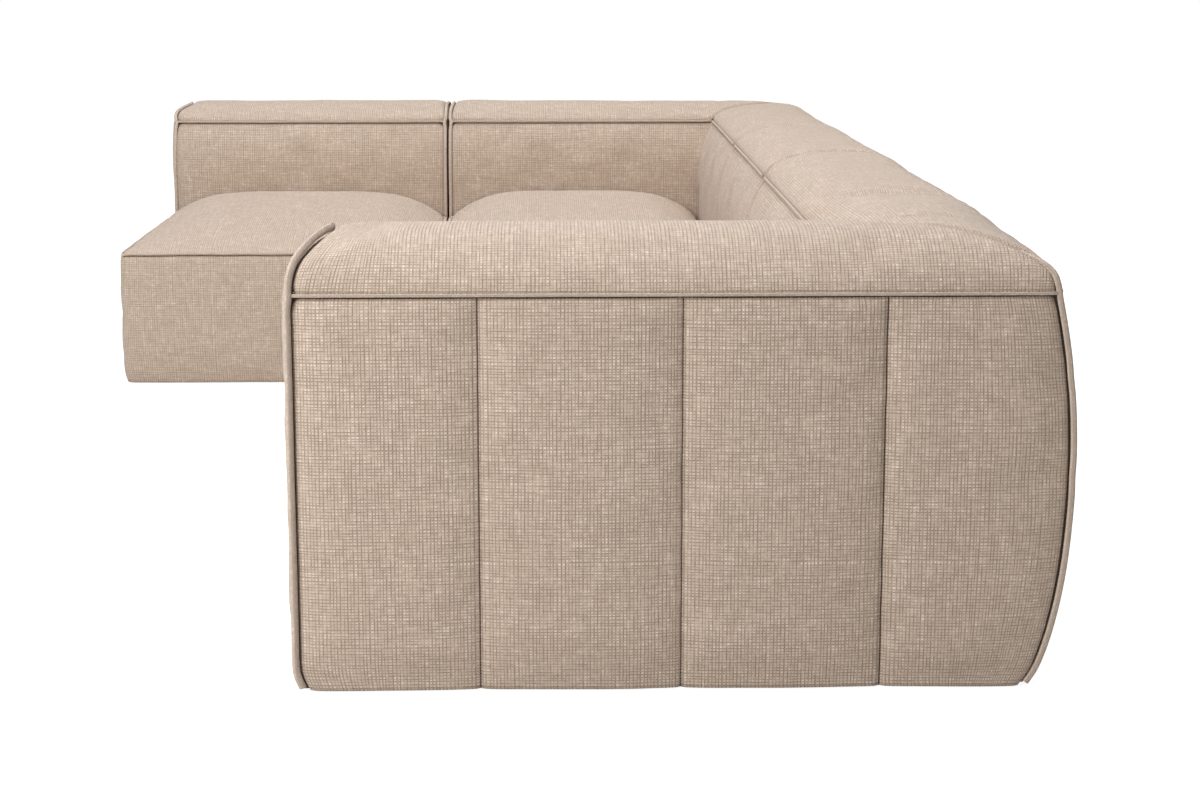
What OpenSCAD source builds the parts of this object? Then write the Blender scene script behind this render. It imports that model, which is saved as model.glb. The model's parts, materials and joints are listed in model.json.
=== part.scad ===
// Low modular corner sofa: an end seat, a corner, a middle seat and a seat with an armrest.
// X runs across the end and corner modules, Y runs from the armrest to the far back, Z is up.

/* [Modules] */
// Depth of a module, from its seat front to the widest point of its back
module_depth = 1020; // [900:5:1200]
// Width of the armless middle module
middle_w = 720; // [600:5:1000]
// Width of the armless end module
end_w = 760; // [600:5:1000]
// Seat width of the module that carries the armrest
arm_seat_w = 1195; // [800:5:1400]
// Gap between the covers of two neighbouring modules
module_gap = 5; // [2:0.5:10]

/* [Seats] */
// Height of the piped seat edge above the floor
seat_edge_z = 318; // [300:1:360]
// Rise of the crowned seat top above its edge
seat_crown = 74; // [30:1:90]
// Corner radius of a seat, seen from above
seat_corner_r = 24; // [10:1:40]

/* [Backs] */
// Thickness of a back at its widest point
back_depth = 342; // [320:1:400]
// Height of the piped seam round the top of a back
back_seam_z = 571; // [540:1:620]
// Rise of the rolled back top above its seam
back_crown = 44; // [20:1:70]
// Lean of the inner face between the seat and the seam
back_lean = 40; // [10:1:60]
// Height of the widest point of the belly-shaped outer face
belly_z = 330; // [260:1:380]
// How far the outer face draws in at the floor
belly_in_low = 70; // [20:1:90]
// How far the outer face draws in at the top seam
belly_in_top = 29; // [10:1:50]
// Target width of the sewn panels on outer faces
panel_w = 285; // [200:5:400]
// Depth of the sewn channels between two panels
channel_depth = 6; // [2:0.5:10]

/* [Armrest] */
// Thickness of the armrest
arm_w = 285; // [240:1:340]
// Height of the piped seam on the outer face of the armrest
arm_seam_z = 565; // [530:1:600]
// Rise of the rolled armrest top above its seam
arm_crown = 80; // [40:1:100]
// How far the armrest stands forward of the seat
arm_proud = 92; // [20:1:120]
// Depth of the front rounding at the top of the armrest
arm_front_round = 56; // [20:1:90]
// Length of the rounding where the armrest top runs down to the outer back
arm_rear_round = 190; // [80:5:240]
// Distance from the front of the armrest to its first channel
arm_first_panel = 270; // [200:5:320]

/* [Covers] */
// Height of the lower edge of the covers above the floor
cover_z = 10; // [6:1:20]
// Padding over the frame on faces that show
outer_pad = 28; // [20:1:34]
// Padding over the frame on faces between modules and behind the seat
hidden_pad = 12; // [8:1:18]
// Padding over the foam core of a seat, at its edge
seat_top_pad = 22; // [14:1:40]
// Padding above the back and armrest frames, up to the seam
back_top_pad = 66; // [50:1:90]
// Clearance between soft pieces and what they rest on
soft_fit = 0.3; // [0.2:0.05:0.6]
// Clearance between the frame and the inside of its cover
frame_fit = 2; // [1:0.5:4]

/* [Frames] */
// Height of the underside of the frames, on their feet
frame_z = 62; // [50:1:80]
// Height of the rails of the seat frames
rail_h = 128; // [120:1:150]
// Thickness of rails and ribs
rail_t = 22; // [18:1:30]
// Height of the bearers under seats and backs
bearer_h = 40; // [30:1:50]
// Width of the bearers
bearer_w = 60; // [50:1:80]
// Height of the rails that join the ribs of a back
back_rail_h = 60; // [40:1:80]

/* [Springs] */
// Thickness of the spring wire
wire_t = 4; // [3:0.5:5]
// Half width of the loops of a sinuous spring
spring_amp = 24; // [16:1:30]
// Length of one full loop of a sinuous spring
spring_loop = 78; // [60:1:100]
// Distance between two springs
spring_pitch = 150; // [110:5:180]
// Straight end of the wire, which a clip holds down
spring_lead = 18; // [14:1:26]
// Width of a spring clip
clip_w = 18; // [12:1:24]
// Thickness of the clip steel
clip_t = 1.2; // [0.8:0.1:2]
// Height of an elastic webbing band in a back
web_h = 50; // [40:1:60]
// Thickness of an elastic webbing band
web_t = 2; // [1.5:0.1:3]
// Number of webbing bands in a back
web_count = 4; // [3:1:4]

/* [Feet and links] */
// Diameter of a foot
foot_d = 50; // [40:1:60]
// Height of the hard glide under a foot
glide_h = 6; // [4:1:10]
// Diameter of the frame bolts
bolt_d = 8; // [6:1:10]
// Length of the frame bolts below their seat in a rib
bolt_grip = 35; // [25:1:45]
// Diameter of the link pins between modules
pin_d = 14; // [10:1:18]
// Radial clearance of a link pin in its eye
pin_fit = 0.4; // [0.2:0.1:0.8]
// Thickness of the link eye
eye_t = 6; // [4:1:8]
// Height of the underside of the link eye
eye_z = 24; // [16:1:30]
// Distance of a link pin from the module boundary
pin_inset = 44; // [40:1:60]
// Thickness of the dust cloth
dust_t = 1.2; // [0.8:0.1:2]

/* [Hidden] */
$fn = 32;

fabric = "#C2AE9A";
foam_tint = "#E8DDB8";
timber = "#C9A877";
spring_steel = "#6F7378";
zinc = "#A9ADB1";
black_plastic = "#232323";
felt_grey = "#3B3B3D";
web_tint = "#D8D2C4";

// Whole footprint, with the origin under its middle
total_x = end_w + module_depth;
total_y = arm_w + arm_seat_w + middle_w + module_depth;
run_front_x = total_x / 2 - module_depth;
arm_far_y = -total_y / 2 + arm_w + arm_seat_w;
far_front_y = arm_far_y + middle_w;

// Heights and depths that several pieces share
back_y = module_depth - back_depth;
seat_depth = back_y - 3 * soft_fit;
rail_top = frame_z + rail_h;
bearer_top = frame_z + bearer_h;
hidden_z = bearer_top + frame_fit;
side_in = module_gap / 2;
seat_pocket_z = seat_edge_z - seat_top_pad;
back_pocket_z = back_seam_z - back_top_pad;
arm_pocket_z = arm_seam_z - back_top_pad;
back_pocket_y = back_y + back_lean + frame_fit;
rib_y = back_pocket_y + frame_fit + web_t;
spring_top = rail_top + wire_t;
foam_z = spring_top + clip_t + soft_fit;
belly_mid_z = (cover_z + belly_z) / 2;
corner_r = 26;
end_round = 30;
corner_arc = [30, 60];
roll_angles = [22, 44, 66, 84];

// Covers: corner radius of their pockets, the plain band beside a seam, how far lower edges draw
// under, and the slight swell and draw of seat fronts and sides
pocket_r = 3;
edge_band = 14;
seat_hem_in = 10;
back_hem_in = 5;
front_swell = 4;
side_draw = 1.5;
// Room between padding and frame behind the curved outer faces, at a rib and at a bearer
rib_ease = 12;
bearer_ease = 24;
// Bearers keep this far from the corners where the lower edge of a cover steps up
corner_clear = pocket_r + 1;

// Back frames: the rails behind the front edge of the ribs, and the two bolts in an end rib
back_rail_set = 40;
bolt_set = 50;
bolt_step = 50;
bolt_head_h = 5;
// Webbing: lowest band below the seat edge, highest band below the top of the pocket
web_below_seat = 90;
web_top_room = 8;

// Feet: distance from the end of a bearer, and the steps of the turned profile
foot_set = 6;
foot_edge = 2;
glide_in = 3;
// Dust cloth: how far its edge lies in from the rails, and the room round what it is cut for
dust_in = 6;
notch_room = 3;

// Links: where the pins stand along a module, and the sizes of plates, arms and pin ends
link_front = 250;
link_behind = 42;
link_rear = back_y + link_behind;
plate_half = 25;
plate_t = 4;
eye_half = 20;
pin_nose = 4;
pin_tail = 10;

function flipped(list) = [for (i = [len(list) - 1:-1:0]) list[i]];
function fractions(count) = [for (i = [0:count]) i / count];
function panels(length) = max(2, round(length / panel_w));
// Evenly spaced heights between two others
function between(low, high, count) = [for (i = [1:count]) low + (high - low) * i / (count + 1)];

// Outer face of backs and armrest: how far it draws in from its widest point at a height
function belly_in(z, seam) = z > belly_z
    ? belly_in_top * pow((z - belly_z) / (seam - belly_z), 2)
    : let (s = (belly_z - z) / belly_z) belly_in_low * (0.6 * pow(s, 2) + 0.4 * pow(s, 4));
// Inner face of a back: upright beside the seat, then leaning out to the seam
function lean_in(z) = let (low = seat_edge_z + seat_crown)
    z <= low ? 0 : back_lean * pow((min(z, back_seam_z) - low) / (back_seam_z - low), 1.4);
// Lower wall of a cover, squeezed upward on the sides where frames pass under it
function lifted(z, bottom) = z >= rail_top
    ? z
    : bottom + (z - cover_z) * (rail_top - bottom) / (rail_top - cover_z);

// One ring of a cover, counter-clockwise from its low corner, at level [z, x0, x1, y0, y1, r].
// Sides go round as front, right, rear, left. tx and ty place the points along them, dent moves
// a point in from its side, and bottoms gives the lower edge of the cover there.
function cover_ring(level, tx, ty, bottoms, dent) =
    let (z = level[0], x0 = level[1], x1 = level[2], y0 = level[3], y1 = level[4], r = level[5],
         at = function(side, t) lifted(z, bottoms(side, t)),
         zc = [min(at(0, 1), at(1, 0)), min(at(1, 1), at(2, 1)), min(at(2, 0), at(3, 1)),
               min(at(3, 0), at(0, 0))],
         lx = x1 - x0 - 2 * r, ly = y1 - y0 - 2 * r)
    concat(
        [for (t = tx) [x0 + r + lx * t, y0 + dent(0, t, z), at(0, t)]],
        [for (a = corner_arc) [x1 - r + r * sin(a), y0 + r - r * cos(a), zc[0]]],
        [for (t = ty) [x1 - dent(1, t, z), y0 + r + ly * t, at(1, t)]],
        [for (a = corner_arc) [x1 - r + r * cos(a), y1 - r + r * sin(a), zc[1]]],
        [for (t = flipped(tx)) [x0 + r + lx * t, y1 - dent(2, t, z), at(2, t)]],
        [for (a = corner_arc) [x0 + r - r * sin(a), y1 - r + r * cos(a), zc[2]]],
        [for (t = flipped(ty)) [x0 + dent(3, t, z), y0 + r + ly * t, at(3, t)]],
        [for (a = corner_arc) [x0 + r - r * cos(a), y0 + r - r * sin(a), zc[3]]]);

// Closed skin through rings with the same number of points, its two ends closed by fans
module ring_skin(rings) {
    n = len(rings[0]);
    last = len(rings) - 1;
    middle_of = function(ring) [for (k = [0:2]) [for (p = ring) p[k]] * [for (p = ring) 1] / n];
    points = concat([for (ring = rings) each ring], [middle_of(rings[0]), middle_of(rings[last])]);
    walls = [for (k = [0:last - 1], i = [0:n - 1])
        let (a = k * n + i, b = a + n, j = (i + 1) % n, c = (k + 1) * n + j, d = k * n + j)
        each [[a, b, c], [a, c, d]]];
    start_cap = [for (i = [0:n - 1]) [i, (i + 1) % n, (last + 1) * n]];
    end_cap = [for (i = [0:n - 1]) [last * n + (i + 1) % n, last * n + i, (last + 1) * n + 1]];
    polyhedron(points, concat(start_cap, walls, end_cap), convexity = 8);
}

// Crowned seat top over u (-1 to 1 across) and v (0 at the front, 1 at the back)
function seat_top(u, v) =
    seat_edge_z + seat_crown * (1 - pow(abs(u), 4.5)) * (1 - pow(1 - v, 2.8));

// Seat cover: open below, with a pocket for frame, springs and foam.
// pads and bottoms go round as front, right, rear, left.
module seat_cover(x0, x1, pads, bottoms) {
    y0 = 0;
    y1 = seat_depth;
    r = seat_corner_r;
    tx = fractions(4);
    ty = fractions(4);
    plain = function(side, t, z) 0;
    inside = function(z) [z, x0 + pads[3], x1 - pads[1], y0 + pads[0], y1 - pads[2], pocket_r];
    // Only the sides that reach the floor edge draw under, and only an open front swells
    drawn = function(side) bottoms(side, 0.5) == cover_z ? 1 : 0;
    soft = function(side, t, z) (1 - pow(2 * t - 1, 2))
        * (side == 0 && drawn(0) == 1 ? -front_swell : side_draw);
    outside = function(z, inset) [z, x0 + inset * drawn(3), x1 - inset * drawn(1),
        y0 + inset * drawn(0), y1, r];
    edge = cover_ring(outside(seat_edge_z, 0), tx, ty, bottoms, plain);
    mid = [(x0 + x1) / 2, (y0 + y1) / 2];
    half = [(x1 - x0) / 2, (y1 - y0) / 2];
    crowned = function(s) [for (p = edge)
        let (u = (p[0] - mid[0]) / half[0] * s, v = (p[1] - mid[1]) / half[1] * s)
        [mid[0] + half[0] * u, mid[1] + half[1] * v, seat_top(u, (v + 1) / 2)]];
    ring_skin(concat(
        [cover_ring(inside(seat_pocket_z), tx, ty, bottoms, plain),
         cover_ring(inside(cover_z), tx, ty, bottoms, plain),
         cover_ring(outside(cover_z, seat_hem_in), tx, ty, bottoms, plain),
         cover_ring(outside(cover_z + edge_band, 0.3 * seat_hem_in), tx, ty, bottoms, plain),
         cover_ring(outside(rail_top, 0), tx, ty, bottoms, soft),
         cover_ring(outside(seat_edge_z - edge_band, 0), tx, ty, bottoms, plain)],
        [for (s = [1, 0.96, 0.84, 0.62, 0.34]) crowned(s)]));
}

// Depth of the frame space inside a back at a height, in straight stretches that ribs follow
function pocket_out(z, seam) =
    lookup(z, [for (h = [cover_z, belly_mid_z, belly_z, seam - back_top_pad])
        [h, module_depth - belly_in(h, seam) - outer_pad - rib_ease]]);

// Heights of the rings on an outer face, from the floor to the plain band under the seam
function cover_heights(seam) = concat(between(cover_z, belly_z, 3), [belly_z],
    between(belly_z, seam - edge_band, 1), [seam - edge_band]);

// Back cover along X from x0 to x1: belly-shaped outside, rolled top, open below for its frame.
// lean0 draws the x0 end out to meet a leaning face beside it. belly1 carries the belly shape
// round the x1 end, as on the outer corner of the sofa.
module back_cover(x0, x1, pad0, pad1, bottoms, lean0 = false, belly1 = false) {
    count = panels(x1 - x0);
    far_x = function(z) belly1 ? x1 - belly_in(z, back_seam_z) : x1;
    pocket_x = function(z) belly1 ? pocket_out(z, back_seam_z) : x1 - pad1;
    tx = fractions(2 * count);
    ty = fractions(2);
    plain = function(side, t, z) 0;
    channels = function(side, t, z) side != 2 || t < 0.01 || t > 0.99
        ? 0
        : channel_depth * (1 - 2 * abs(t * count - round(t * count)));
    end_x = function(z) lean0 ? x0 - lean_in(z) : x0;
    inside = function(z) [z, x0 + pad0, pocket_x(z), back_pocket_y, pocket_out(z, back_seam_z),
        pocket_r];
    outside = function(z, inset) [z, end_x(z) + inset, far_x(z) - inset,
        back_y + lean_in(z), module_depth - belly_in(z, back_seam_z), corner_r];
    half = (module_depth - belly_in_top - back_y - back_lean) / 2;
    rolled = function(a) let (in_y = half * (1 - cos(a)), in_x = end_round * (1 - cos(a)))
        [back_seam_z + back_crown * sin(a), end_x(back_seam_z) + (lean0 ? 0 : in_x),
         far_x(back_seam_z) - (belly1 ? in_y : in_x),
         back_y + back_lean + in_y, module_depth - belly_in_top - in_y,
         min(corner_r, (half - in_y) * 0.9)];
    ring_skin(concat(
        [for (z = [back_pocket_z, belly_z, belly_mid_z, cover_z])
            cover_ring(inside(z), tx, ty, bottoms, plain)],
        [cover_ring(outside(cover_z, back_hem_in), tx, ty, bottoms, plain)],
        [for (z = cover_heights(back_seam_z)) cover_ring(outside(z, 0), tx, ty, bottoms, channels)],
        [cover_ring(outside(back_seam_z, 0), tx, ty, bottoms, plain)],
        [for (a = roll_angles) cover_ring(rolled(a), tx, ty, bottoms, plain)]));
}

// Armrest cover along Y, from its own front to the belly-shaped rear
module armrest_form() {
    x0 = arm_seat_w + soft_fit;
    x1 = arm_seat_w + arm_w;
    y0 = -arm_proud;
    rear = function(z) module_depth - belly_in(z, arm_seam_z);
    seams = [for (y = arm_first_panel + y0; y < rear(arm_seam_z) - 2 * corner_r; y = y + panel_w) y];
    stops = concat([y0 + corner_r], seams, [rear(arm_seam_z) - corner_r]);
    samples = concat([for (i = [0:len(stops) - 2], f = [0, 0.22, 0.5, 0.78])
        stops[i] + (stops[i + 1] - stops[i]) * f], [stops[len(stops) - 1]]);
    // Fractions that keep the channels upright while the rear edge follows the belly
    upright = function(z) let (low = y0 + corner_r, high = rear(z) - corner_r)
        [for (i = [0:len(samples) - 1])
            i == len(samples) - 1 ? 1 : (samples[i] - low) / (high - low)];
    rolled_ty = upright(arm_seam_z);
    tx = fractions(2);
    beside_seat = (0 - y0) / (rear(arm_seam_z) - y0);
    bottoms = function(side, t) side == 3 && t > beside_seat ? hidden_z : cover_z;
    plain = function(side, t, z) 0;
    nearest = function(y) min([for (s = seams) abs(y - s)]);
    channels = function(side, t, z) side != 1
        ? 0
        : let (y = y0 + corner_r + (rear(z) - y0 - 2 * corner_r) * t)
          channel_depth * pow(max(0, 1 - nearest(y) / (panel_w / 2)), 1.6);
    inside = function(z) [z, x0 + outer_pad, x1 - outer_pad, y0 + outer_pad,
        pocket_out(z, arm_seam_z), pocket_r];
    outside = function(z, inset) [z, x0, x1 - inset, y0 + inset * 3, rear(z), corner_r];
    half = arm_w / 2;
    rolled = function(a) let (c = 1 - cos(a))
        [arm_seam_z + arm_crown * sin(a), x0 + half * c, x1 - half * c,
         y0 + arm_front_round * c, rear(arm_seam_z) - arm_rear_round * c,
         min(corner_r, (half - half * c) * 0.9)];
    ring_skin(concat(
        [for (z = [arm_pocket_z, belly_z, belly_mid_z, cover_z])
            cover_ring(inside(z), tx, rolled_ty, bottoms, plain)],
        [cover_ring(outside(cover_z, back_hem_in), tx, upright(cover_z), bottoms, plain)],
        [for (z = concat([cover_z + edge_band], cover_heights(arm_seam_z)))
            cover_ring(outside(z, 0), tx, upright(z), bottoms, channels)],
        [cover_ring(outside(arm_seam_z, 0), tx, rolled_ty, bottoms, plain)],
        [for (a = roll_angles) cover_ring(rolled(a), tx, rolled_ty, bottoms, plain)]));
}

// A seat frame is described by its inner space: [x0, x1, y0, y1] of the cover's pocket
function seat_space(x0, x1, pads) =
    [x0 + pads[3], x1 - pads[1], pads[0], seat_depth - pads[2]];

module block(x0, x1, y0, y1, z0, z1) {
    translate([x0, y0, z0]) cube([x1 - x0, y1 - y0, z1 - z0]);
}

// Ring of four rails, with the bearers given as [x0, x1, y0, y1]
module base_frame(space, bearers, bolt_places) {
    x0 = space[0] + frame_fit;
    x1 = space[1] - frame_fit;
    y0 = space[2] + frame_fit;
    y1 = space[3] - frame_fit;
    color(timber) difference() {
        union() {
            difference() {
                block(x0, x1, y0, y1, frame_z, rail_top);
                block(x0 + rail_t, x1 - rail_t, y0 + rail_t, y1 - rail_t, frame_z - 1, rail_top + 1);
            }
            for (b = bearers) block(b[0], b[1], b[2], b[3], frame_z, bearer_top);
        }
        for (p = bolt_places) translate([p[0], p[1], frame_z - 1])
            cylinder(d = bolt_d + 2 * soft_fit, h = bearer_h + 2);
    }
}

// Foam core on the springs, up to the ceiling of the pocket, its corners cut to the pocket's
module seat_foam(space) {
    x = [space[0] + soft_fit, space[1] - soft_fit];
    y = [space[2] + soft_fit, space[3] - soft_fit];
    cut = pocket_r;
    color(foam_tint) translate([0, 0, foam_z])
        linear_extrude(height = seat_pocket_z - soft_fit - foam_z)
            polygon([[x[0] + cut, y[0]], [x[1] - cut, y[0]], [x[1], y[0] + cut],
                [x[1], y[1] - cut], [x[1] - cut, y[1]], [x[0] + cut, y[1]],
                [x[0], y[1] - cut], [x[0], y[0] + cut]]);
}

// Centre line of a sinuous spring of a length, with straight ends
function spring_line(length) = let (run = length - 2 * spring_lead,
        steps = 6 * round(run / spring_loop))
    concat([[0, 0]],
        [for (i = [0:steps]) [spring_amp * sin(60 * i), spring_lead + run * i / steps]],
        [[0, length]]);
function unit(v) = v / norm(v);
// Outline of the wire, laid both sides of its centre line
function wire_outline(line) = let (last = len(line) - 1,
        sides = [for (i = [0:last])
            let (d = unit(line[min(i + 1, last)] - line[max(i - 1, 0)])) [d[1], -d[0]] * wire_t / 2])
    concat([for (i = [0:last]) line[i] + sides[i]], [for (i = [last:-1:0]) line[i] - sides[i]]);

// Where the springs of a seat lie: evenly spaced across the space
function spring_places(space) = let (width = space[1] - space[0] - 2 * (frame_fit + rail_t),
        count = max(2, round(width / spring_pitch)))
    [for (i = [0:count - 1]) space[0] + frame_fit + rail_t + width * (i + 0.5) / count];
function spring_start(space) = space[2] + frame_fit + 2;
function spring_length(space) = space[3] - space[2] - 2 * (frame_fit + 2);

module seat_springs(space) {
    color(spring_steel) for (x = spring_places(space))
        translate([x, spring_start(space), rail_top])
            linear_extrude(height = wire_t) polygon(wire_outline(spring_line(spring_length(space))));
}

// Two steel clips for each spring, bridging the wire on the front and rear rails
module spring_clips(space) {
    hold = spring_lead - 6;
    slot = wire_t + 2 * soft_fit;
    color(zinc) for (x = spring_places(space), end = [0, 1])
        translate([x, spring_start(space) + end * (spring_length(space) - hold), rail_top])
            difference() {
                translate([-clip_w / 2, 0, 0]) cube([clip_w, hold, wire_t + clip_t]);
                translate([-slot / 2, -1, -1]) cube([slot, hold + 2, wire_t + 1 + soft_fit / 2]);
            }
}

// Outline of a rib in depth and height, following the pocket of its cover
module rib_outline(low, high, inner, seam) {
    heights = concat([low], [for (z = [belly_mid_z, belly_z]) if (z > low && z < high) z], [high]);
    polygon(concat([[inner, low]],
        [for (z = heights) [pocket_out(z, seam) - frame_fit, z]], [[inner, high]]));
}

// Where the ribs of a back stand, from the space x0 to x1
function rib_places(x0, x1) = let (first = x0 + frame_fit, last = x1 - frame_fit - rail_t)
    [first, (first + last) / 2, last];

// Ladder back frame: three belly-shaped ribs joined by a low and a high rail
module back_frame(x0, x1, bolt_places) {
    high = back_pocket_z - soft_fit;
    color(timber) difference() {
        union() {
            for (x = rib_places(x0, x1)) translate([x + rail_t, 0, 0]) rotate([90, 0, -90])
                mirror([1, 0, 0]) linear_extrude(height = rail_t)
                    rib_outline(bearer_top, high, rib_y, back_seam_z);
            for (z = [bearer_top, high - back_rail_h])
                block(x0 + frame_fit, x1 - frame_fit, rib_y + back_rail_set,
                    rib_y + back_rail_set + rail_t, z, z + back_rail_h);
        }
        for (p = bolt_places) translate([p[0], p[1], bearer_top - 1])
            cylinder(d = bolt_d + 2 * soft_fit, h = bolt_grip + 2);
    }
}

// Elastic bands stretched across the front edges of the ribs
module back_webbing(x0, x1) {
    low = seat_edge_z - web_below_seat;
    high = back_pocket_z - web_top_room;
    step = (high - low - web_h) / (web_count - 1);
    color(web_tint) for (i = [0:web_count - 1])
        block(x0 + frame_fit, x1 - frame_fit, rib_y - web_t, rib_y, low + i * step,
            low + i * step + web_h);
}

// Bolt places of a back: front and rear of its two end ribs
function back_bolts(x0, x1) = let (ribs = rib_places(x0, x1))
    [for (x = [ribs[0], ribs[2]], i = [0, 1]) [x + rail_t / 2, rib_y + bolt_set + i * bolt_step]];

module frame_bolts(places) {
    color(zinc) for (p = places) translate([p[0], p[1], 0]) {
        translate([0, 0, frame_z - bolt_head_h])
            cylinder(d = bolt_d * 1.6, h = bolt_head_h, $fn = 6);
        translate([0, 0, frame_z]) cylinder(d = bolt_d, h = bearer_h + bolt_grip);
    }
}

// Turned plastic foot with a harder glide pressed under it
module foot() {
    r = foot_d / 2;
    glide_r = r - foot_edge - glide_in;
    rotate_extrude() polygon([[0, 0], [glide_r - glide_in, 0], [glide_r, glide_h],
        [r - glide_in, glide_h], [r, glide_h + 2 * glide_in], [r, frame_z - foot_edge],
        [r - foot_edge, frame_z], [0, frame_z]]);
}

module feet(places) {
    color(black_plastic) for (p = places) translate([p[0], p[1], 0]) foot();
}

// Cloth stapled under the rails, cut out round the feet and the link plates
module dust_cloth(space, foot_places, plate_places) {
    foot_room = foot_d / 2 + notch_room;
    plate_room = plate_half + notch_room;
    low = frame_z - dust_t - 1;
    high = frame_z + 1;
    color(felt_grey) difference() {
        block(space[0] + dust_in, space[1] - dust_in, space[2] + dust_in, space[3] - dust_in,
            frame_z - dust_t, frame_z);
        for (p = foot_places) if (p[1] < link_front) let (left = p[0] * 2 < space[0] + space[1])
            block(left ? space[0] - 1 : p[0] - foot_room, left ? p[0] + foot_room : space[1] + 1,
                space[2] - 1, p[1] + foot_room, low, high);
        for (p = plate_places) block(p[0] - plate_room, p[0] + plate_room,
            p[1] - plate_room, p[1] + plate_room, low, high);
    }
}

// Link hardware: a pin under one module drops into an eye that reaches over from its neighbour
module link_pin() {
    low = eye_z - pin_tail;
    high = frame_z - plate_t / 2;
    block(-plate_half, plate_half, -plate_half, plate_half, frame_z - plate_t, frame_z);
    rotate_extrude() polygon([[0, low], [pin_d / 2 - pin_nose, low], [pin_d / 2, low + pin_nose],
        [pin_d / 2, high], [0, high]]);
}

// The arm of an eye runs from the pin towards -X, and its post stands under the neighbour's frame
module link_eye() {
    reach = 2 * pin_inset;
    difference() {
        union() {
            cylinder(r = eye_half, h = eye_t);
            block(-reach - plate_half, 0, -eye_half, eye_half, 0, eye_t);
            block(-reach - plate_half, -reach + eye_t, -eye_half, eye_half, 0, frame_z - eye_z);
        }
        translate([0, 0, -1]) cylinder(d = pin_d + 2 * pin_fit, h = eye_t + 2);
    }
}

module link_pins(places) {
    color(zinc) for (p = places) translate([p[0], p[1], 0]) link_pin();
}

// Places are where the pins come down, as [x, y, turn]
module link_eyes(places) {
    color(zinc) for (p = places) translate([p[0], p[1], eye_z]) rotate(p[2]) link_eye();
}

// Modules of the side run face -X and those of the far run face -Y.
// Each is drawn with its width along X from 0, its seat front at y = 0 and its back behind.
module side_run(far_y) { translate([run_front_x, far_y, 0]) rotate(-90) children(); }
module far_run(left_x) { translate([left_x, far_front_y, 0]) children(); }
module arm_module() { side_run(arm_far_y) children(); }
module middle_module() { side_run(far_front_y) children(); }
module corner_module() { far_run(run_front_x) children(); }
module end_module() { far_run(run_front_x - end_w) children(); }
// The side back of the corner module, drawn as a side-run back that ends at the far back
module corner_side() {
    translate([run_front_x, far_front_y + back_y - 3 * soft_fit, 0]) rotate(-90) children();
}

// Covers reach the floor edge on the sides listed, and stop above the bearers on the others
function low_sides(sides) = function(side, t) search(side, sides) == [] ? hidden_z : cover_z;
open_pads = [outer_pad, hidden_pad, hidden_pad, hidden_pad];
end_pads = [outer_pad, hidden_pad, hidden_pad, outer_pad];
corner_pads = [hidden_pad, hidden_pad, hidden_pad, hidden_pad];
inner_bottoms = low_sides([0]);
end_bottoms = low_sides([0, 3]);
corner_bottoms = low_sides([]);
back_bottoms = low_sides([2]);
end_back_bottoms = low_sides([2, 3]);
corner_back_bottoms = low_sides([1, 2]);

// Spaces inside the four seats
middle_space = seat_space(side_in, middle_w - side_in, open_pads);
arm_space = seat_space(side_in, arm_seat_w - soft_fit, open_pads);
corner_space = seat_space(side_in, seat_depth, corner_pads);
end_space = seat_space(0, end_w - side_in, end_pads);

// Backs as [x0, x1] of the space inside
back_end_pad = hidden_pad + 8;
middle_back = [side_in + back_end_pad, middle_w - side_in - back_end_pad];
arm_back = [side_in + back_end_pad, arm_seat_w - soft_fit - back_end_pad];
end_back = [outer_pad, end_w - side_in - back_end_pad];
corner_side_length = back_y - 3 * soft_fit;
side_back = [back_end_pad, corner_side_length - side_in - back_end_pad];

// A bearer under an end rib of a back, from the seat front to the back's outer pocket
bearer_far = module_depth - belly_in_low - outer_pad - bearer_ease;
far_back = [side_in + back_end_pad, bearer_far - (bearer_w - rail_t) / 2 + frame_fit];
function rib_bearer(x, low, high) =
    let (first = min(max(low, x + (rail_t - bearer_w) / 2), high - bearer_w)) [first, first + bearer_w];
bearer_in = side_in + frame_fit;
function run_bearers(back, low, w, front) = [for (i = [0, 2])
    let (b = rib_bearer(rib_places(back[0], back[1])[i], low, w - bearer_in))
    [b[0], b[1], front, bearer_far]];
front_in = outer_pad + frame_fit + corner_clear;
corner_front_in = hidden_pad + frame_fit;
// Cross beams that carry the armrest, from the seat front and from the seat rear
arm_beam_front = 80;
arm_beam_rear = 117;
arm_beam_y = [arm_beam_front, seat_depth - arm_beam_rear];

// The two boards of the armrest, by their low X side
arm_board_x = [arm_seat_w + outer_pad + frame_fit + soft_fit,
    arm_seat_w + arm_w - outer_pad - frame_fit - rail_t];

middle_bearers = run_bearers(middle_back, bearer_in, middle_w, front_in);
arm_bearers = concat(run_bearers(arm_back, bearer_in, arm_seat_w, front_in),
    [for (y = arm_beam_y) [bearer_in, arm_board_x[1] + rail_t, y, y + bearer_w]]);
end_bearers = run_bearers(end_back, front_in, end_w, front_in);
// The corner carries bearers both ways: along Y under its far back, along X under its side back
side_ribs = rib_places(side_back[0], side_back[1]);
corner_bearers = concat(run_bearers(far_back, bearer_in, module_depth, corner_front_in),
    [for (i = [0, 2]) let (b = rib_bearer(side_ribs[i], frame_fit, corner_side_length - bearer_in))
        [corner_front_in, bearer_far, corner_side_length - b[1], corner_side_length - b[0]]]);

// Feet: near both ends of the bearers, behind the seat front and under the back
foot_front = front_in + foot_d / 2 + foot_set;
foot_rear = bearer_far - foot_d / 2 - foot_set;
function bearer_feet(bearers) = [for (i = [0, 1], y = [foot_front, foot_rear])
    [(bearers[i][0] + bearers[i][1]) / 2, y]];
middle_feet_at = bearer_feet(middle_bearers);
arm_feet_at = concat(bearer_feet(arm_bearers), [for (y = arm_beam_y)
    [arm_board_x[1] - foot_d / 2 - notch_room, y + bearer_w / 2]]);
corner_feet_at = bearer_feet(corner_bearers);
end_feet_at = bearer_feet(end_bearers);

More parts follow.
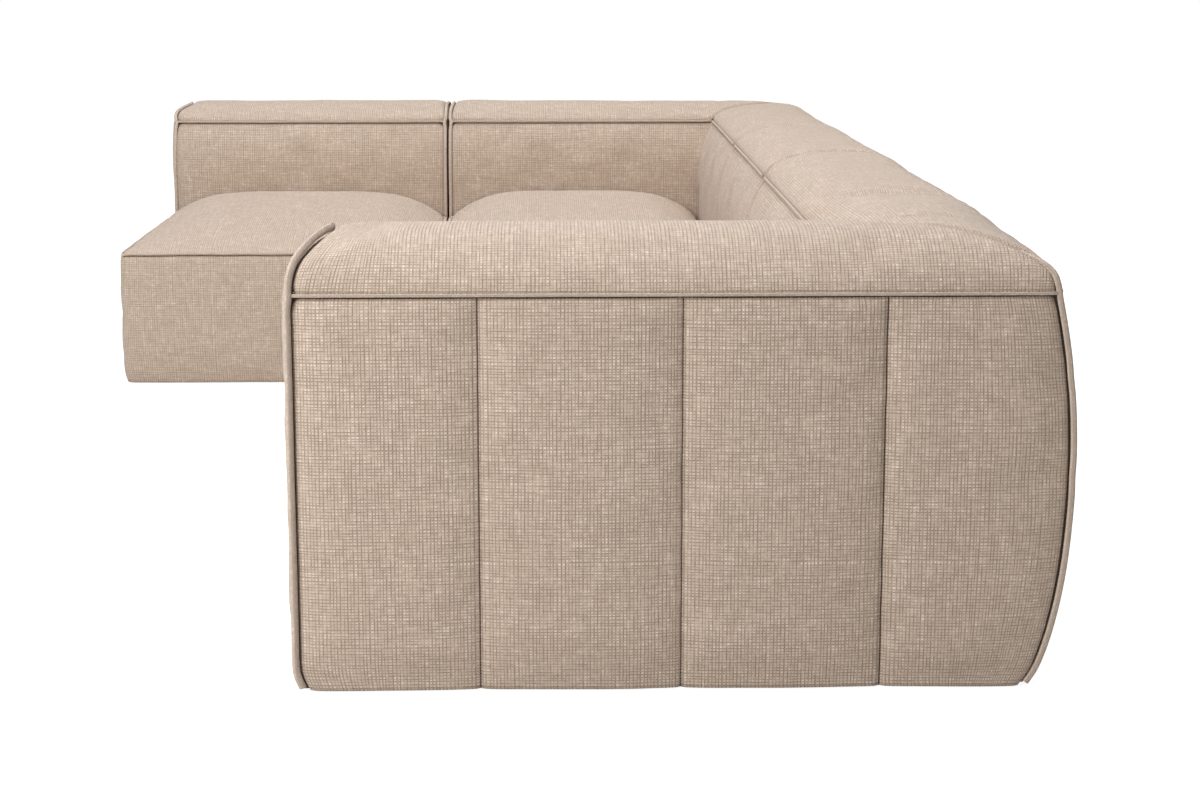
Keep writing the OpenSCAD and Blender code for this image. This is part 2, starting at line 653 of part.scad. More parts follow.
// Pins sit one inset inside the lifted module, under its bearers or rails
arm_pins_at = [for (y = [link_front, link_rear]) [pin_inset, y]];
middle_pins_at = arm_pins_at;
end_pins_at = [for (y = [link_front, link_rear]) [end_w - pin_inset, y]];

// Bolts that hold the backs, and the armrest to its cross beams
middle_bolts_at = back_bolts(middle_back[0], middle_back[1]);
arm_bolts_at = concat(back_bolts(arm_back[0], arm_back[1]),
    [for (x = arm_board_x, y = arm_beam_y) [x + rail_t / 2, y + bearer_w / 2]]);
end_bolts_at = back_bolts(end_back[0], end_back[1]);
corner_side_bolts_at = back_bolts(side_back[0], side_back[1]);
corner_far_bolts_at = back_bolts(far_back[0], far_back[1]);
// The same bolts of the side back, in the corner module's own frame
corner_bolts_at = concat(corner_far_bolts_at,
    [for (p = corner_side_bolts_at) [p[1], corner_side_length - p[0]]]);

// Two plywood side boards with the armrest's outline, and blocks that space them
module armrest_boards() {
    high = arm_pocket_z - soft_fit;
    front = outer_pad + frame_fit - arm_proud;
    color(timber) difference() {
        union() {
            for (x = arm_board_x) translate([x + rail_t, 0, 0]) rotate([90, 0, -90])
                mirror([1, 0, 0]) linear_extrude(height = rail_t)
                    rib_outline(bearer_top, high, front, arm_seam_z);
            for (y = [front, (front + bearer_far) / 2, bearer_far - rail_t],
                z = [bearer_top, high - back_rail_h])
                block(arm_board_x[0] + rail_t, arm_board_x[1], y, y + rail_t, z, z + back_rail_h);
        }
        for (x = arm_board_x, y = arm_beam_y) translate([x + rail_t / 2, y + bearer_w / 2, bearer_top - 1])
            cylinder(d = bolt_d + 2 * soft_fit, h = bolt_grip + 2);
    }
}

module corner_seat_cover() {
    color(fabric) corner_module() seat_cover(side_in, seat_depth, corner_pads, corner_bottoms);
}
module corner_side_back_cover() {
    color(fabric) corner_side()
        back_cover(0, corner_side_length - side_in, back_end_pad, back_end_pad, back_bottoms, true);
}
module corner_far_back_cover() {
    color(fabric) corner_module()
        back_cover(side_in, module_depth, back_end_pad, 0, corner_back_bottoms, belly1 = true);
}
module corner_seat_foam() { corner_module() seat_foam(corner_space); }
module corner_base_frame() {
    corner_module() base_frame(corner_space, corner_bearers, corner_bolts_at);
}
module corner_side_back_frame() {
    corner_side() back_frame(side_back[0], side_back[1], corner_side_bolts_at);
}
module corner_far_back_frame() {
    corner_module() back_frame(far_back[0], far_back[1], corner_far_bolts_at);
}
module corner_seat_springs() { corner_module() seat_springs(corner_space); }
module corner_spring_clips() { corner_module() spring_clips(corner_space); }
module corner_side_back_webbing() { corner_side() back_webbing(side_back[0], side_back[1]); }
module corner_far_back_webbing() { corner_module() back_webbing(far_back[0], far_back[1]); }
module corner_frame_bolts() { corner_module() frame_bolts(corner_bolts_at); }
module corner_dust_cloth() {
    corner_module() dust_cloth(corner_space, corner_feet_at,
        [[pin_inset, link_front], [link_front, pin_inset]]);
}
module corner_feet() { corner_module() feet(corner_feet_at); }
module corner_link_eyes() {
    corner_module() link_eyes(concat([for (y = [link_front, link_rear]) [-pin_inset, y, 180]],
        [for (x = [link_front, link_rear]) [x, -pin_inset, -90]]));
}

module middle_seat_cover() {
    color(fabric) middle_module()
        seat_cover(side_in, middle_w - side_in, open_pads, inner_bottoms);
}
module middle_back_cover() {
    color(fabric) middle_module()
        back_cover(side_in, middle_w - side_in, back_end_pad, back_end_pad, back_bottoms);
}
module middle_seat_foam() { middle_module() seat_foam(middle_space); }
module middle_base_frame() {
    middle_module() base_frame(middle_space, middle_bearers, middle_bolts_at);
}
module middle_back_frame() {
    middle_module() back_frame(middle_back[0], middle_back[1], middle_bolts_at);
}
module middle_seat_springs() { middle_module() seat_springs(middle_space); }
module middle_spring_clips() { middle_module() spring_clips(middle_space); }
module middle_back_webbing() { middle_module() back_webbing(middle_back[0], middle_back[1]); }
module middle_frame_bolts() { middle_module() frame_bolts(middle_bolts_at); }
module middle_dust_cloth() {
    middle_module() dust_cloth(middle_space, middle_feet_at,
        [[pin_inset, link_front], [middle_w - pin_inset, link_front]]);
}
module middle_feet() { middle_module() feet(middle_feet_at); }
module middle_link_eyes() {
    middle_module() link_eyes([for (y = [link_front, link_rear]) [middle_w + pin_inset, y, 0]]);
}
module middle_link_pins() { middle_module() link_pins(middle_pins_at); }

module arm_seat_cover() {
    color(fabric) arm_module()
        seat_cover(side_in, arm_seat_w - soft_fit, open_pads, inner_bottoms);
}
module arm_back_cover() {
    color(fabric) arm_module()
        back_cover(side_in, arm_seat_w - soft_fit, back_end_pad, back_end_pad, back_bottoms);
}
module armrest_cover() { color(fabric) arm_module() armrest_form(); }
module arm_seat_foam() { arm_module() seat_foam(arm_space); }
module arm_base_frame() { arm_module() base_frame(arm_space, arm_bearers, arm_bolts_at); }
module arm_back_frame() { arm_module() back_frame(arm_back[0], arm_back[1], arm_bolts_at); }
module armrest_frame() { arm_module() armrest_boards(); }
module arm_seat_springs() { arm_module() seat_springs(arm_space); }
module arm_spring_clips() { arm_module() spring_clips(arm_space); }
module arm_back_webbing() { arm_module() back_webbing(arm_back[0], arm_back[1]); }
module arm_frame_bolts() { arm_module() frame_bolts(arm_bolts_at); }
module arm_dust_cloth() {
    arm_module() dust_cloth(arm_space, arm_feet_at, [[pin_inset, link_front]]);
}
module arm_feet() { arm_module() feet(arm_feet_at); }
module arm_link_pins() { arm_module() link_pins(arm_pins_at); }

module end_seat_cover() {
    color(fabric) end_module() seat_cover(0, end_w - side_in, end_pads, end_bottoms);
}
module end_back_cover() {
    color(fabric) end_module()
        back_cover(0, end_w - side_in, outer_pad, back_end_pad, end_back_bottoms);
}
module end_seat_foam() { end_module() seat_foam(end_space); }
module end_base_frame() { end_module() base_frame(end_space, end_bearers, end_bolts_at); }
module end_back_frame() { end_module() back_frame(end_back[0], end_back[1], end_bolts_at); }
module end_seat_springs() { end_module() seat_springs(end_space); }
module end_spring_clips() { end_module() spring_clips(end_space); }
module end_back_webbing() { end_module() back_webbing(end_back[0], end_back[1]); }
module end_frame_bolts() { end_module() frame_bolts(end_bolts_at); }
module end_dust_cloth() {
    end_module() dust_cloth(end_space, end_feet_at, [[end_w - pin_inset, link_front]]);
}
module end_feet() { end_module() feet(end_feet_at); }
module end_link_pins() { end_module() link_pins(end_pins_at); }

corner_seat_cover();
corner_side_back_cover();
corner_far_back_cover();
corner_seat_foam();
corner_base_frame();
corner_side_back_frame();
corner_far_back_frame();
corner_seat_springs();
corner_spring_clips();
corner_side_back_webbing();
corner_far_back_webbing();
corner_frame_bolts();
corner_dust_cloth();
corner_feet();
corner_link_eyes();
middle_seat_cover();
middle_back_cover();
middle_seat_foam();
middle_base_frame();
middle_back_frame();
middle_seat_springs();
middle_spring_clips();
middle_back_webbing();
middle_frame_bolts();
middle_dust_cloth();
middle_feet();
middle_link_eyes();
middle_link_pins();
arm_seat_cover();
arm_back_cover();
armrest_cover();
arm_seat_foam();
arm_base_frame();
arm_back_frame();
armrest_frame();
arm_seat_springs();
arm_spring_clips();
arm_back_webbing();
arm_frame_bolts();
arm_dust_cloth();
arm_feet();
arm_link_pins();
end_seat_cover();
end_back_cover();
end_seat_foam();
end_base_frame();
end_back_frame();
end_seat_springs();
end_spring_clips();
end_back_webbing();
end_frame_bolts();
end_dust_cloth();
end_feet();
end_link_pins();
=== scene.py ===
# Low corner sofa in four linked modules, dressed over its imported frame
import json
import math
import bpy
import bmesh
import numpy as np
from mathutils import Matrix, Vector, noise


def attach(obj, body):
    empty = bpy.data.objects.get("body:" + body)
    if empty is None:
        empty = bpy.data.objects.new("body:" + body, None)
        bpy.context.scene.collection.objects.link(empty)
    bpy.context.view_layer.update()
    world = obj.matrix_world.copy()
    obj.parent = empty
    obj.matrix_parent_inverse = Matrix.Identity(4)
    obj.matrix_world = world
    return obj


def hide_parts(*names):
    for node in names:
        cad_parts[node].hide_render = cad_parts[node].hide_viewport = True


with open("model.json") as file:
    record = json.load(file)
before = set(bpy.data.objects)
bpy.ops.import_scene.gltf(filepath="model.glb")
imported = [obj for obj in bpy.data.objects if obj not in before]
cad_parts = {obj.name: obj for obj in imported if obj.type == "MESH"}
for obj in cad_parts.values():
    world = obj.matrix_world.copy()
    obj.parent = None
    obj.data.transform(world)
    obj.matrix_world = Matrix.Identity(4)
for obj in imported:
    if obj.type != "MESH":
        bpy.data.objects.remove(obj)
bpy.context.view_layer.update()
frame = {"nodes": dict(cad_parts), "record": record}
scene = bpy.context.scene

# Sizes of the whole sofa in metres, as the frame has them
sofa = {
    "depth": 1.020, "middleWidth": 0.720, "endWidth": 0.760, "armSeatWidth": 1.195,
    "armWidth": 0.285, "gap": 0.005, "softFit": 0.0003, "low": 0.003, "hiddenLow": 0.104,
    "hem": 0.006, "hemHeight": 0.012, "cell": 0.024, "rounding": 0.026, "flush": 0.001, "inset": 0.016,
    "fade": 0.06, "heldBelow": 0.40, "pad": 0.012, "facePad": 0.028, "nearCap": 0.05, "mitreFrom": 0.02,
}
# Each kind of cord: its radius, the share of it by which the groove and the painted seam shade move out
# to lie beside it, and the height of its middle above the sewn line
cords = {"edging": 0.0054, "piping": 0.0045, "thin": 0.0013, "welts": 0.0025}
cordCover = {"edging": 0.6, "piping": 0.6, "thin": 1.0}
cordLift = {"edging": 0.0044, "piping": 0.0015, "thin": -0.0014}
seat = {
    "edge": 0.318, "crown": 0.074, "radius": 0.024, "swell": 0.004, "sidePower": 4.5,
    "frontPower": 2.8, "rows": 13, "pocket": 0.296,
}
back = {
    "thick": 0.342, "seam": 0.575, "lean": 0.040, "leanPower": 2.8, "belly": 0.330,
    "bellyLow": 0.056, "bellyTop": 0.023, "bellyMix": 0.6, "foot": 0.070, "panel": 0.285,
    "channel": 0.004, "channelPower": 1.6, "across": 14, "rows": 24, "pocket": 0.505, "frontPower": 2.4,
    "pad": 0.020, "seatPad": 0.042, "seamsApart": 0.03,
}
# Ends of the backs: how far the roll rounds in there, and the radius of the corners
ends = {"outer": (0.026, 0.026), "joined": (0.008, 0.010), "piped": (0.004, 0.004)}
arm = {
    "seam": 0.570, "crown": 0.079, "proud": 0.092, "frontRound": 0.055, "rearRound": 0.190,
    "firstPanel": 0.270, "across": 16, "rows": 24, "pocket": 0.499, "power": 2.2, "blend": 0.45,
    "endPower": 1.5, "frontHem": 2.0, "sideHem": 0.3, "mitreSlope": 0.7,
    "turn": 0.026, "turnHold": 0.4, "turnFrom": 0.30, "turnRise": 0.25, "turnReach": 0.30,
    "tuck": 0.007, "tuckFrom": 0.75, "tuckReach": 0.25,
}
backY = sofa["depth"] - back["thick"]
seatDepth = backY - 3 * sofa["softFit"]
sideIn = sofa["gap"] / 2
frontX = (sofa["endWidth"] + sofa["depth"]) / 2 - sofa["depth"]
totalY = sofa["armWidth"] + sofa["armSeatWidth"] + sofa["middleWidth"] + sofa["depth"]
armFarY = -totalY / 2 + sofa["armWidth"] + sofa["armSeatWidth"]
farFrontY = armFarY + sofa["middleWidth"]


def sideRun(farY):  # modules that face -X: width runs towards the armrest
    return lambda p: np.stack([frontX + p[:, 1], farY - p[:, 0], p[:, 2]], 1)


def farRun(leftX):  # modules that face -Y
    return lambda p: np.stack([leftX + p[:, 0], farFrontY + p[:, 1], p[:, 2]], 1)


def srgb(hexColour):  # sRGB hex to linear RGBA
    parts = [int(hexColour[i:i + 2], 16) / 255 for i in (1, 3, 5)]
    return tuple(c / 12.92 if c <= 0.04045 else ((c + 0.055) / 1.055) ** 2.4 for c in parts) + (1.0,)


def addNode(tree, kind, links=None, **settings):  # one node, set and linked; gives back its outputs
    node = tree.nodes.new(kind)
    for name, value in settings.items():
        setattr(node, name, value)
    for key, value in (links or {}).items():
        if isinstance(value, bpy.types.NodeSocket):
            tree.links.new(value, node.inputs[key])
        else:
            node.inputs[key].default_value = value
    return node.outputs


def newMaterial(name):  # material with a bare Principled shader, returned as (material, tree, shader)
    material = bpy.data.materials.new(name)
    material.use_nodes = True
    return material, material.node_tree, material.node_tree.nodes["Principled BSDF"]


# Upholstery cloth: a loose slub weave of linen-like yarns in small bundles, matt, faintly hairy.
# Thin painted shadows lie between the bundles, painted highlights sit on the crowns of some crossings, and
# thicker slubs are lighter here and there
cloth = {
    "warp": 0.0051, "weft": 0.0044,  # spacing of the yarn bundles, across and up
    # dark is the colour of the painted shadow between bundles; seam is the colour of the painted shade in seam
    # creases and beside cords
    "light": "#D8C5B5", "mid": "#CAB7A6", "dark": "#806C5C", "slub": "#EEE0D3", "seam": "#38220F",
    "slubLength": 0.036, "fineLength": 1.3, "apart": 7.31, "wander": 0.8, "wanderReach": 3.1,
    "yarnTone": 0.40, "chanceTone": 0.06, "nubHighlightTone": 0.15, "stops": (0.40, 0.56, 0.68),
    "strength": {"From Min": 0.36, "From Max": 0.60, "To Min": 0.46, "To Max": 1.0},
    "shadow": {"From Min": 0.03, "From Max": 0.30, "To Min": 1.0, "To Max": 0.0},
    # the ramp after crown picks which yarn crossings get a painted highlight on their crown
    "crown": {"From Min": 0.14, "From Max": 0.44}, "nubHighlight": {"From Min": 0.2, "From Max": 0.7},
    # the two seam ramps paint shade: a dark line in each seam crease and a softer band beside it
    "seamCreaseShadow": {"From Min": 0.0003, "From Max": 0.0018, "To Min": 0.92, "To Max": 0.0},
    "seamShade": {"From Min": 0.0, "From Max": 0.009, "To Min": 0.15, "To Max": 0.0},
    "bump": {"Strength": 0.6, "Distance": 0.0014},
    "surface": {"Roughness": 0.9, "Sheen Weight": 0.2, "Sheen Roughness": 0.5, "Specular IOR Level": 0.2},
}


def bundles(tree, across, along, spacing, seed):  # shadow beside, crown, tone and number of the bundles
    slow = addNode(tree, "ShaderNodeMath", {0: across, 1: spacing * cloth["wanderReach"]}, operation="DIVIDE")
    wander = addNode(tree, "ShaderNodeTexNoise", {"W": slow[0], "Scale": 1.0, "Detail": 1.0},
                     noise_dimensions="1D")
    wander = addNode(tree, "ShaderNodeMath", {0: wander["Fac"], 1: cloth["wander"]}, operation="MULTIPLY")
    even = addNode(tree, "ShaderNodeMath", {0: across, 1: spacing}, operation="DIVIDE")
    placed = addNode(tree, "ShaderNodeMath", {0: even[0], 1: wander[0]}, operation="ADD")[0]
    edge = addNode(tree, "ShaderNodeMath", {0: placed}, operation="ROUND")[0]
    number = addNode(tree, "ShaderNodeMath", {0: placed}, operation="FLOOR")[0]
    away = addNode(tree, "ShaderNodeMath", {0: placed, 1: edge}, operation="SUBTRACT")
    away = addNode(tree, "ShaderNodeMath", {0: away[0]}, operation="ABSOLUTE")[0]
    run = addNode(tree, "ShaderNodeMath", {0: along, 1: cloth["slubLength"]}, operation="DIVIDE")[0]
    tones = []
    for line, size in ((edge, cloth["fineLength"]), (number, 1.0)):
        x = addNode(tree, "ShaderNodeMath", {0: line, 1: cloth["apart"]}, operation="MULTIPLY")
        y = addNode(tree, "ShaderNodeMath", {0: run, 1: size}, operation="MULTIPLY")
        spot = addNode(tree, "ShaderNodeCombineXYZ", {"X": x[0], "Y": y[0], "Z": seed})
        tones.append(addNode(tree, "ShaderNodeTexNoise",
                             {"Vector": spot[0], "Scale": 1.0, "Detail": 2.5, "Roughness": 0.6})["Fac"])
    shadow, strength, crown = (
        addNode(tree, "ShaderNodeMapRange", {"Value": value, **cloth[key]},
                interpolation_type="SMOOTHSTEP")["Result"]
        for value, key in ((away, "shadow"), (tones[0], "strength"), (away, "crown")))
    shadow = addNode(tree, "ShaderNodeMath", {0: shadow, 1: strength}, operation="MULTIPLY")[0]
    return shadow, crown, tones[1], number


def clothMaterial(name, source, scale, depth, lift, seams):
    material, tree, shader = newMaterial(name)
    if source == "weave":
        place = addNode(tree, "ShaderNodeUVMap", uv_map=source)["UV"]
    else:
        place = addNode(tree, "ShaderNodeAttribute", attribute_name=source)["Vector"]
    u, v = addNode(tree, "ShaderNodeSeparateXYZ", {0: place})[:2]
    warpShadow, warpCrown, warpTone, column = bundles(tree, u, v, cloth["warp"] * scale, 1.7)
    weftShadow, weftCrown, weftTone, row = bundles(tree, v, u, cloth["weft"] * scale, 5.3)
    crossing = addNode(tree, "ShaderNodeCombineXYZ", {0: column, 1: row})
    chance = addNode(tree, "ShaderNodeTexWhiteNoise", {"Vector": crossing[0]}, noise_dimensions="2D")["Value"]
    # Painted highlight: where both bundles crown, at crossings picked by chance, knobbly yarn stands up and
    # its lit top is painted lighter
    crowns = addNode(tree, "ShaderNodeMath", {0: warpCrown, 1: weftCrown}, operation="MULTIPLY")
    some = addNode(tree, "ShaderNodeMapRange", {"Value": chance, **cloth["nubHighlight"]},
                   interpolation_type="SMOOTHSTEP")["Result"]
    nubHighlight = addNode(tree, "ShaderNodeMath", {0: crowns[0], 1: some}, operation="MULTIPLY")[0]
    tone = addNode(tree, "ShaderNodeMath", {0: warpTone, 1: weftTone}, operation="ADD")
    tone = addNode(tree, "ShaderNodeMath", {0: tone[0], 1: cloth["yarnTone"]}, operation="MULTIPLY")[0]
    for value, share in ((chance, cloth["chanceTone"]), (nubHighlight, cloth["nubHighlightTone"])):
        tone = addNode(tree, "ShaderNodeMath", {0: value, 1: share, 2: tone}, operation="MULTIPLY_ADD")[0]
    colour = addNode(tree, "ShaderNodeValToRGB", {"Fac": tone})
    stops = colour["Color"].node.color_ramp.elements
    # lift moves every stop down, so the whole cloth comes out lighter: painted light for a lit copy of the
    # cloth
    for stop, at, shade in zip(stops, cloth["stops"], ("mid", "light")):
        stop.position, stop.color = at - lift, srgb(cloth[shade])
    stops.new(cloth["stops"][2] - lift).color = srgb(cloth["slub"])
    # painted shadow between the bundles, mixed towards the dark colour as far as depth allows
    shadow = addNode(tree, "ShaderNodeMath", {0: warpShadow, 1: weftShadow}, operation="MAXIMUM")[0]
    share = addNode(tree, "ShaderNodeMath", {0: shadow, 1: depth}, operation="MULTIPLY")[0]
    last = addNode(tree, "ShaderNodeMix", {"Factor": share, "A": colour["Color"], "B": srgb(cloth["dark"])},
                   data_type="RGBA")["Result"]
    if seams:  # painted shade: a dark line in the crease of each sewn seam and mitre, and a softer darker band beside it and beside the cords
        near = addNode(tree, "ShaderNodeAttribute", attribute_name="seam")["Fac"]
        mitre = addNode(tree, "ShaderNodeAttribute", attribute_name="mitre")["Fac"]
        mitre = addNode(tree, "ShaderNodeMath", {0: mitre}, operation="ABSOLUTE")[0]
        nearest = addNode(tree, "ShaderNodeMath", {0: near, 1: mitre}, operation="MINIMUM")[0]
        line, shade = (addNode(tree, "ShaderNodeMapRange", {"Value": nearest, **cloth[key]},
                               interpolation_type="SMOOTHSTEP")["Result"] for key in ("seamCreaseShadow", "seamShade"))
        share = addNode(tree, "ShaderNodeMath", {0: line, 1: shade}, operation="MAXIMUM")[0]
        last = addNode(tree, "ShaderNodeMix", {"Factor": share, "A": last, "B": srgb(cloth["seam"])},
                       data_type="RGBA")["Result"]
    tree.links.new(last, shader.inputs["Base Color"])
    height = addNode(tree, "ShaderNodeMath", {0: tone, 1: shadow}, operation="SUBTRACT")[0]
    bump = addNode(tree, "ShaderNodeBump", {"Height": height, **cloth["bump"]})
    tree.links.new(bump[0], shader.inputs["Normal"])
    for key, value in cloth["surface"].items():
        shader.inputs[key].default_value = value
    return material


upholstery = clothMaterial("slub_weave_cloth", "weave", scale=1.0, depth=0.56, lift=0.0, seams=True)
# The piping is a lighter copy of the cloth with shallower painted shadows between its bundles: painted light
# for its round top lit from above
pipingCloth = clothMaterial("bias_cut_piping_cloth", "wrap", scale=0.42, depth=0.24, lift=0.07, seams=False)
print("cloth materials made")

# What lies inside the covers. Each finish: two tones, grain in metres, stretch, roughness, metallic
# and depth of the surface, with what it gives the eye. The band is where the noise turns light
insides = {
    "cushion_foam": ("#EFE4C8", "#DCCBA4", 0.0016, (1, 1, 1), 0.95, 0.0, 0.0006),  # open cells, dull cream
    "frame_timber": ("#DDBE8F", "#B98F5C", 0.0040, (1, 12, 1), 0.70, 0.0, 0.0003),  # sawn pine, long grain
    "spring_steel": ("#8B8D90", "#5E6063", 0.0020, (1, 1, 1), 0.38, 1.0, 0.0001),  # drawn, oiled wire
    "zinc_steel": ("#D5D8DA", "#AEB3B8", 0.0060, (1, 1, 1), 0.34, 1.0, 0.0001),  # bright passivated plate
    "elastic_webbing": ("#E2DBCC", "#B9AE98", 0.0012, (1, 6, 1), 0.85, 0.0, 0.0005),  # ribbed woven band
    "dust_cloth": ("#1B1B1E", "#0C0C0E", 0.0022, (1, 1, 1), 0.92, 0.0, 0.0004),  # bonded fibres, near black
    "black_plastic": ("#131315", "#0B0B0C", 0.0008, (1, 1, 1), 0.45, 0.0, 0.0001),  # fine moulded grain
}
finishes, band = {}, {"From Min": 0.35, "From Max": 0.65}
for slot, (light, dark, grain, stretch, roughness, metallic, depth) in insides.items():
    material, tree, shader = newMaterial(slot)
    place = addNode(tree, "ShaderNodeTexCoord")["Object"]
    pulled = addNode(tree, "ShaderNodeMapping",
                     {"Vector": place, "Scale": [1 / (grain * k) for k in stretch]})[0]
    height = addNode(tree, "ShaderNodeTexNoise", {"Vector": pulled, "Scale": 1.0, "Detail": 3.0})["Fac"]
    share = addNode(tree, "ShaderNodeMapRange", {"Value": height, **band}, interpolation_type="SMOOTHSTEP")
    tone = addNode(tree, "ShaderNodeMix", {"Factor": share["Result"], "A": srgb(dark), "B": srgb(light)},
                   data_type="RGBA")["Result"]
    bump = addNode(tree, "ShaderNodeBump", {"Height": height, "Distance": depth})
    tree.links.new(tone, shader.inputs["Base Color"])
    tree.links.new(bump[0], shader.inputs["Normal"])
    shader.inputs["Roughness"].default_value = roughness
    shader.inputs["Metallic"].default_value = metallic
    finishes[slot] = material
for part in frame["record"]["subparts"]:
    for own in frame["nodes"][part["node"]].material_slots:
        own.material = finishes.get(part["material_slot"], upholstery)


def bellyIn(z, seam):  # how far the outer face draws in from its widest point
    low = np.clip((back["belly"] - z) / back["belly"], 0, 1)
    high = np.clip((z - back["belly"]) / (seam - back["belly"]), 0, 1)
    mix = back["bellyMix"]
    return back["bellyLow"] * (mix * low ** 2 + (1 - mix) * low ** 4) + back["bellyTop"] * high ** 2


def leanIn(z):  # the inner face of a back stands upright beside the seat, then leans out
    low = seat["edge"] + seat["crown"]
    return back["lean"] * np.clip((z - low) / (back["seam"] - low), 0, 1) ** back["leanPower"]


def hemIn(z, size=1.0):  # lower edges draw under
    return size * sofa["hem"] * np.clip(1 - (z - sofa["low"]) / (size * sofa["hemHeight"]), 0, 1) ** 2


def rollIn(z, seam, crown, power=2.2):  # 0 at the seam, 1 on the ridge of a rolled top
    return 1 - (1 - np.clip((z - seam) / crown, 0, 1) ** power) ** (1 / power)


def rollUp(share, power):  # height share of a roll, from 0 at its edge to 1 on its ridge
    return (1 - (1 - np.clip(share, 0, 1)) ** power) ** (1 / power)


def blendTo(a, b, share):
    return a + (b - a) * share


def gridLines(stops, spacing):  # lines through all the stops, evenly spaced between them
    lines = [stops[0]]
    for a, b in zip(stops, stops[1:]):
        count = max(1, round((b - a) / spacing))
        lines += [a + (b - a) * (k + 1) / count for k in range(count)]
    return np.array(lines)


def rollLines(low, high, count):  # lines across a roll, evenly spaced round it
    return (low + high) / 2 - (high - low) / 2 * np.cos(np.pi * np.arange(count + 1) / count)


def warped(ref, was, now, margin):  # moves the two ends of a range and keeps its middle
    out = ref + (now[0] - was[0]) * np.clip(1 - (ref - was[0]) / margin, 0, 1)
    return out + (now[1] - was[-1]) * np.clip(1 - (was[-1] - ref) / margin, 0, 1)


def cornerShift(distance, radius):  # shift (along, inward) of a point on a side near its corner
    turn = np.pi / 4 * np.clip(1 - distance / radius, 0, 1)
    along = np.where(distance < radius, radius - radius * np.sin(turn) - distance, 0.0)
    return along, radius * (1 - np.cos(turn))


def runLength(points):  # length along a line of points up to each of them
    return np.concatenate([[0], np.cumsum(np.linalg.norm(np.diff(points, axis=0), axis=1))])


far = 1.0  # distance that stands for no seam nearby


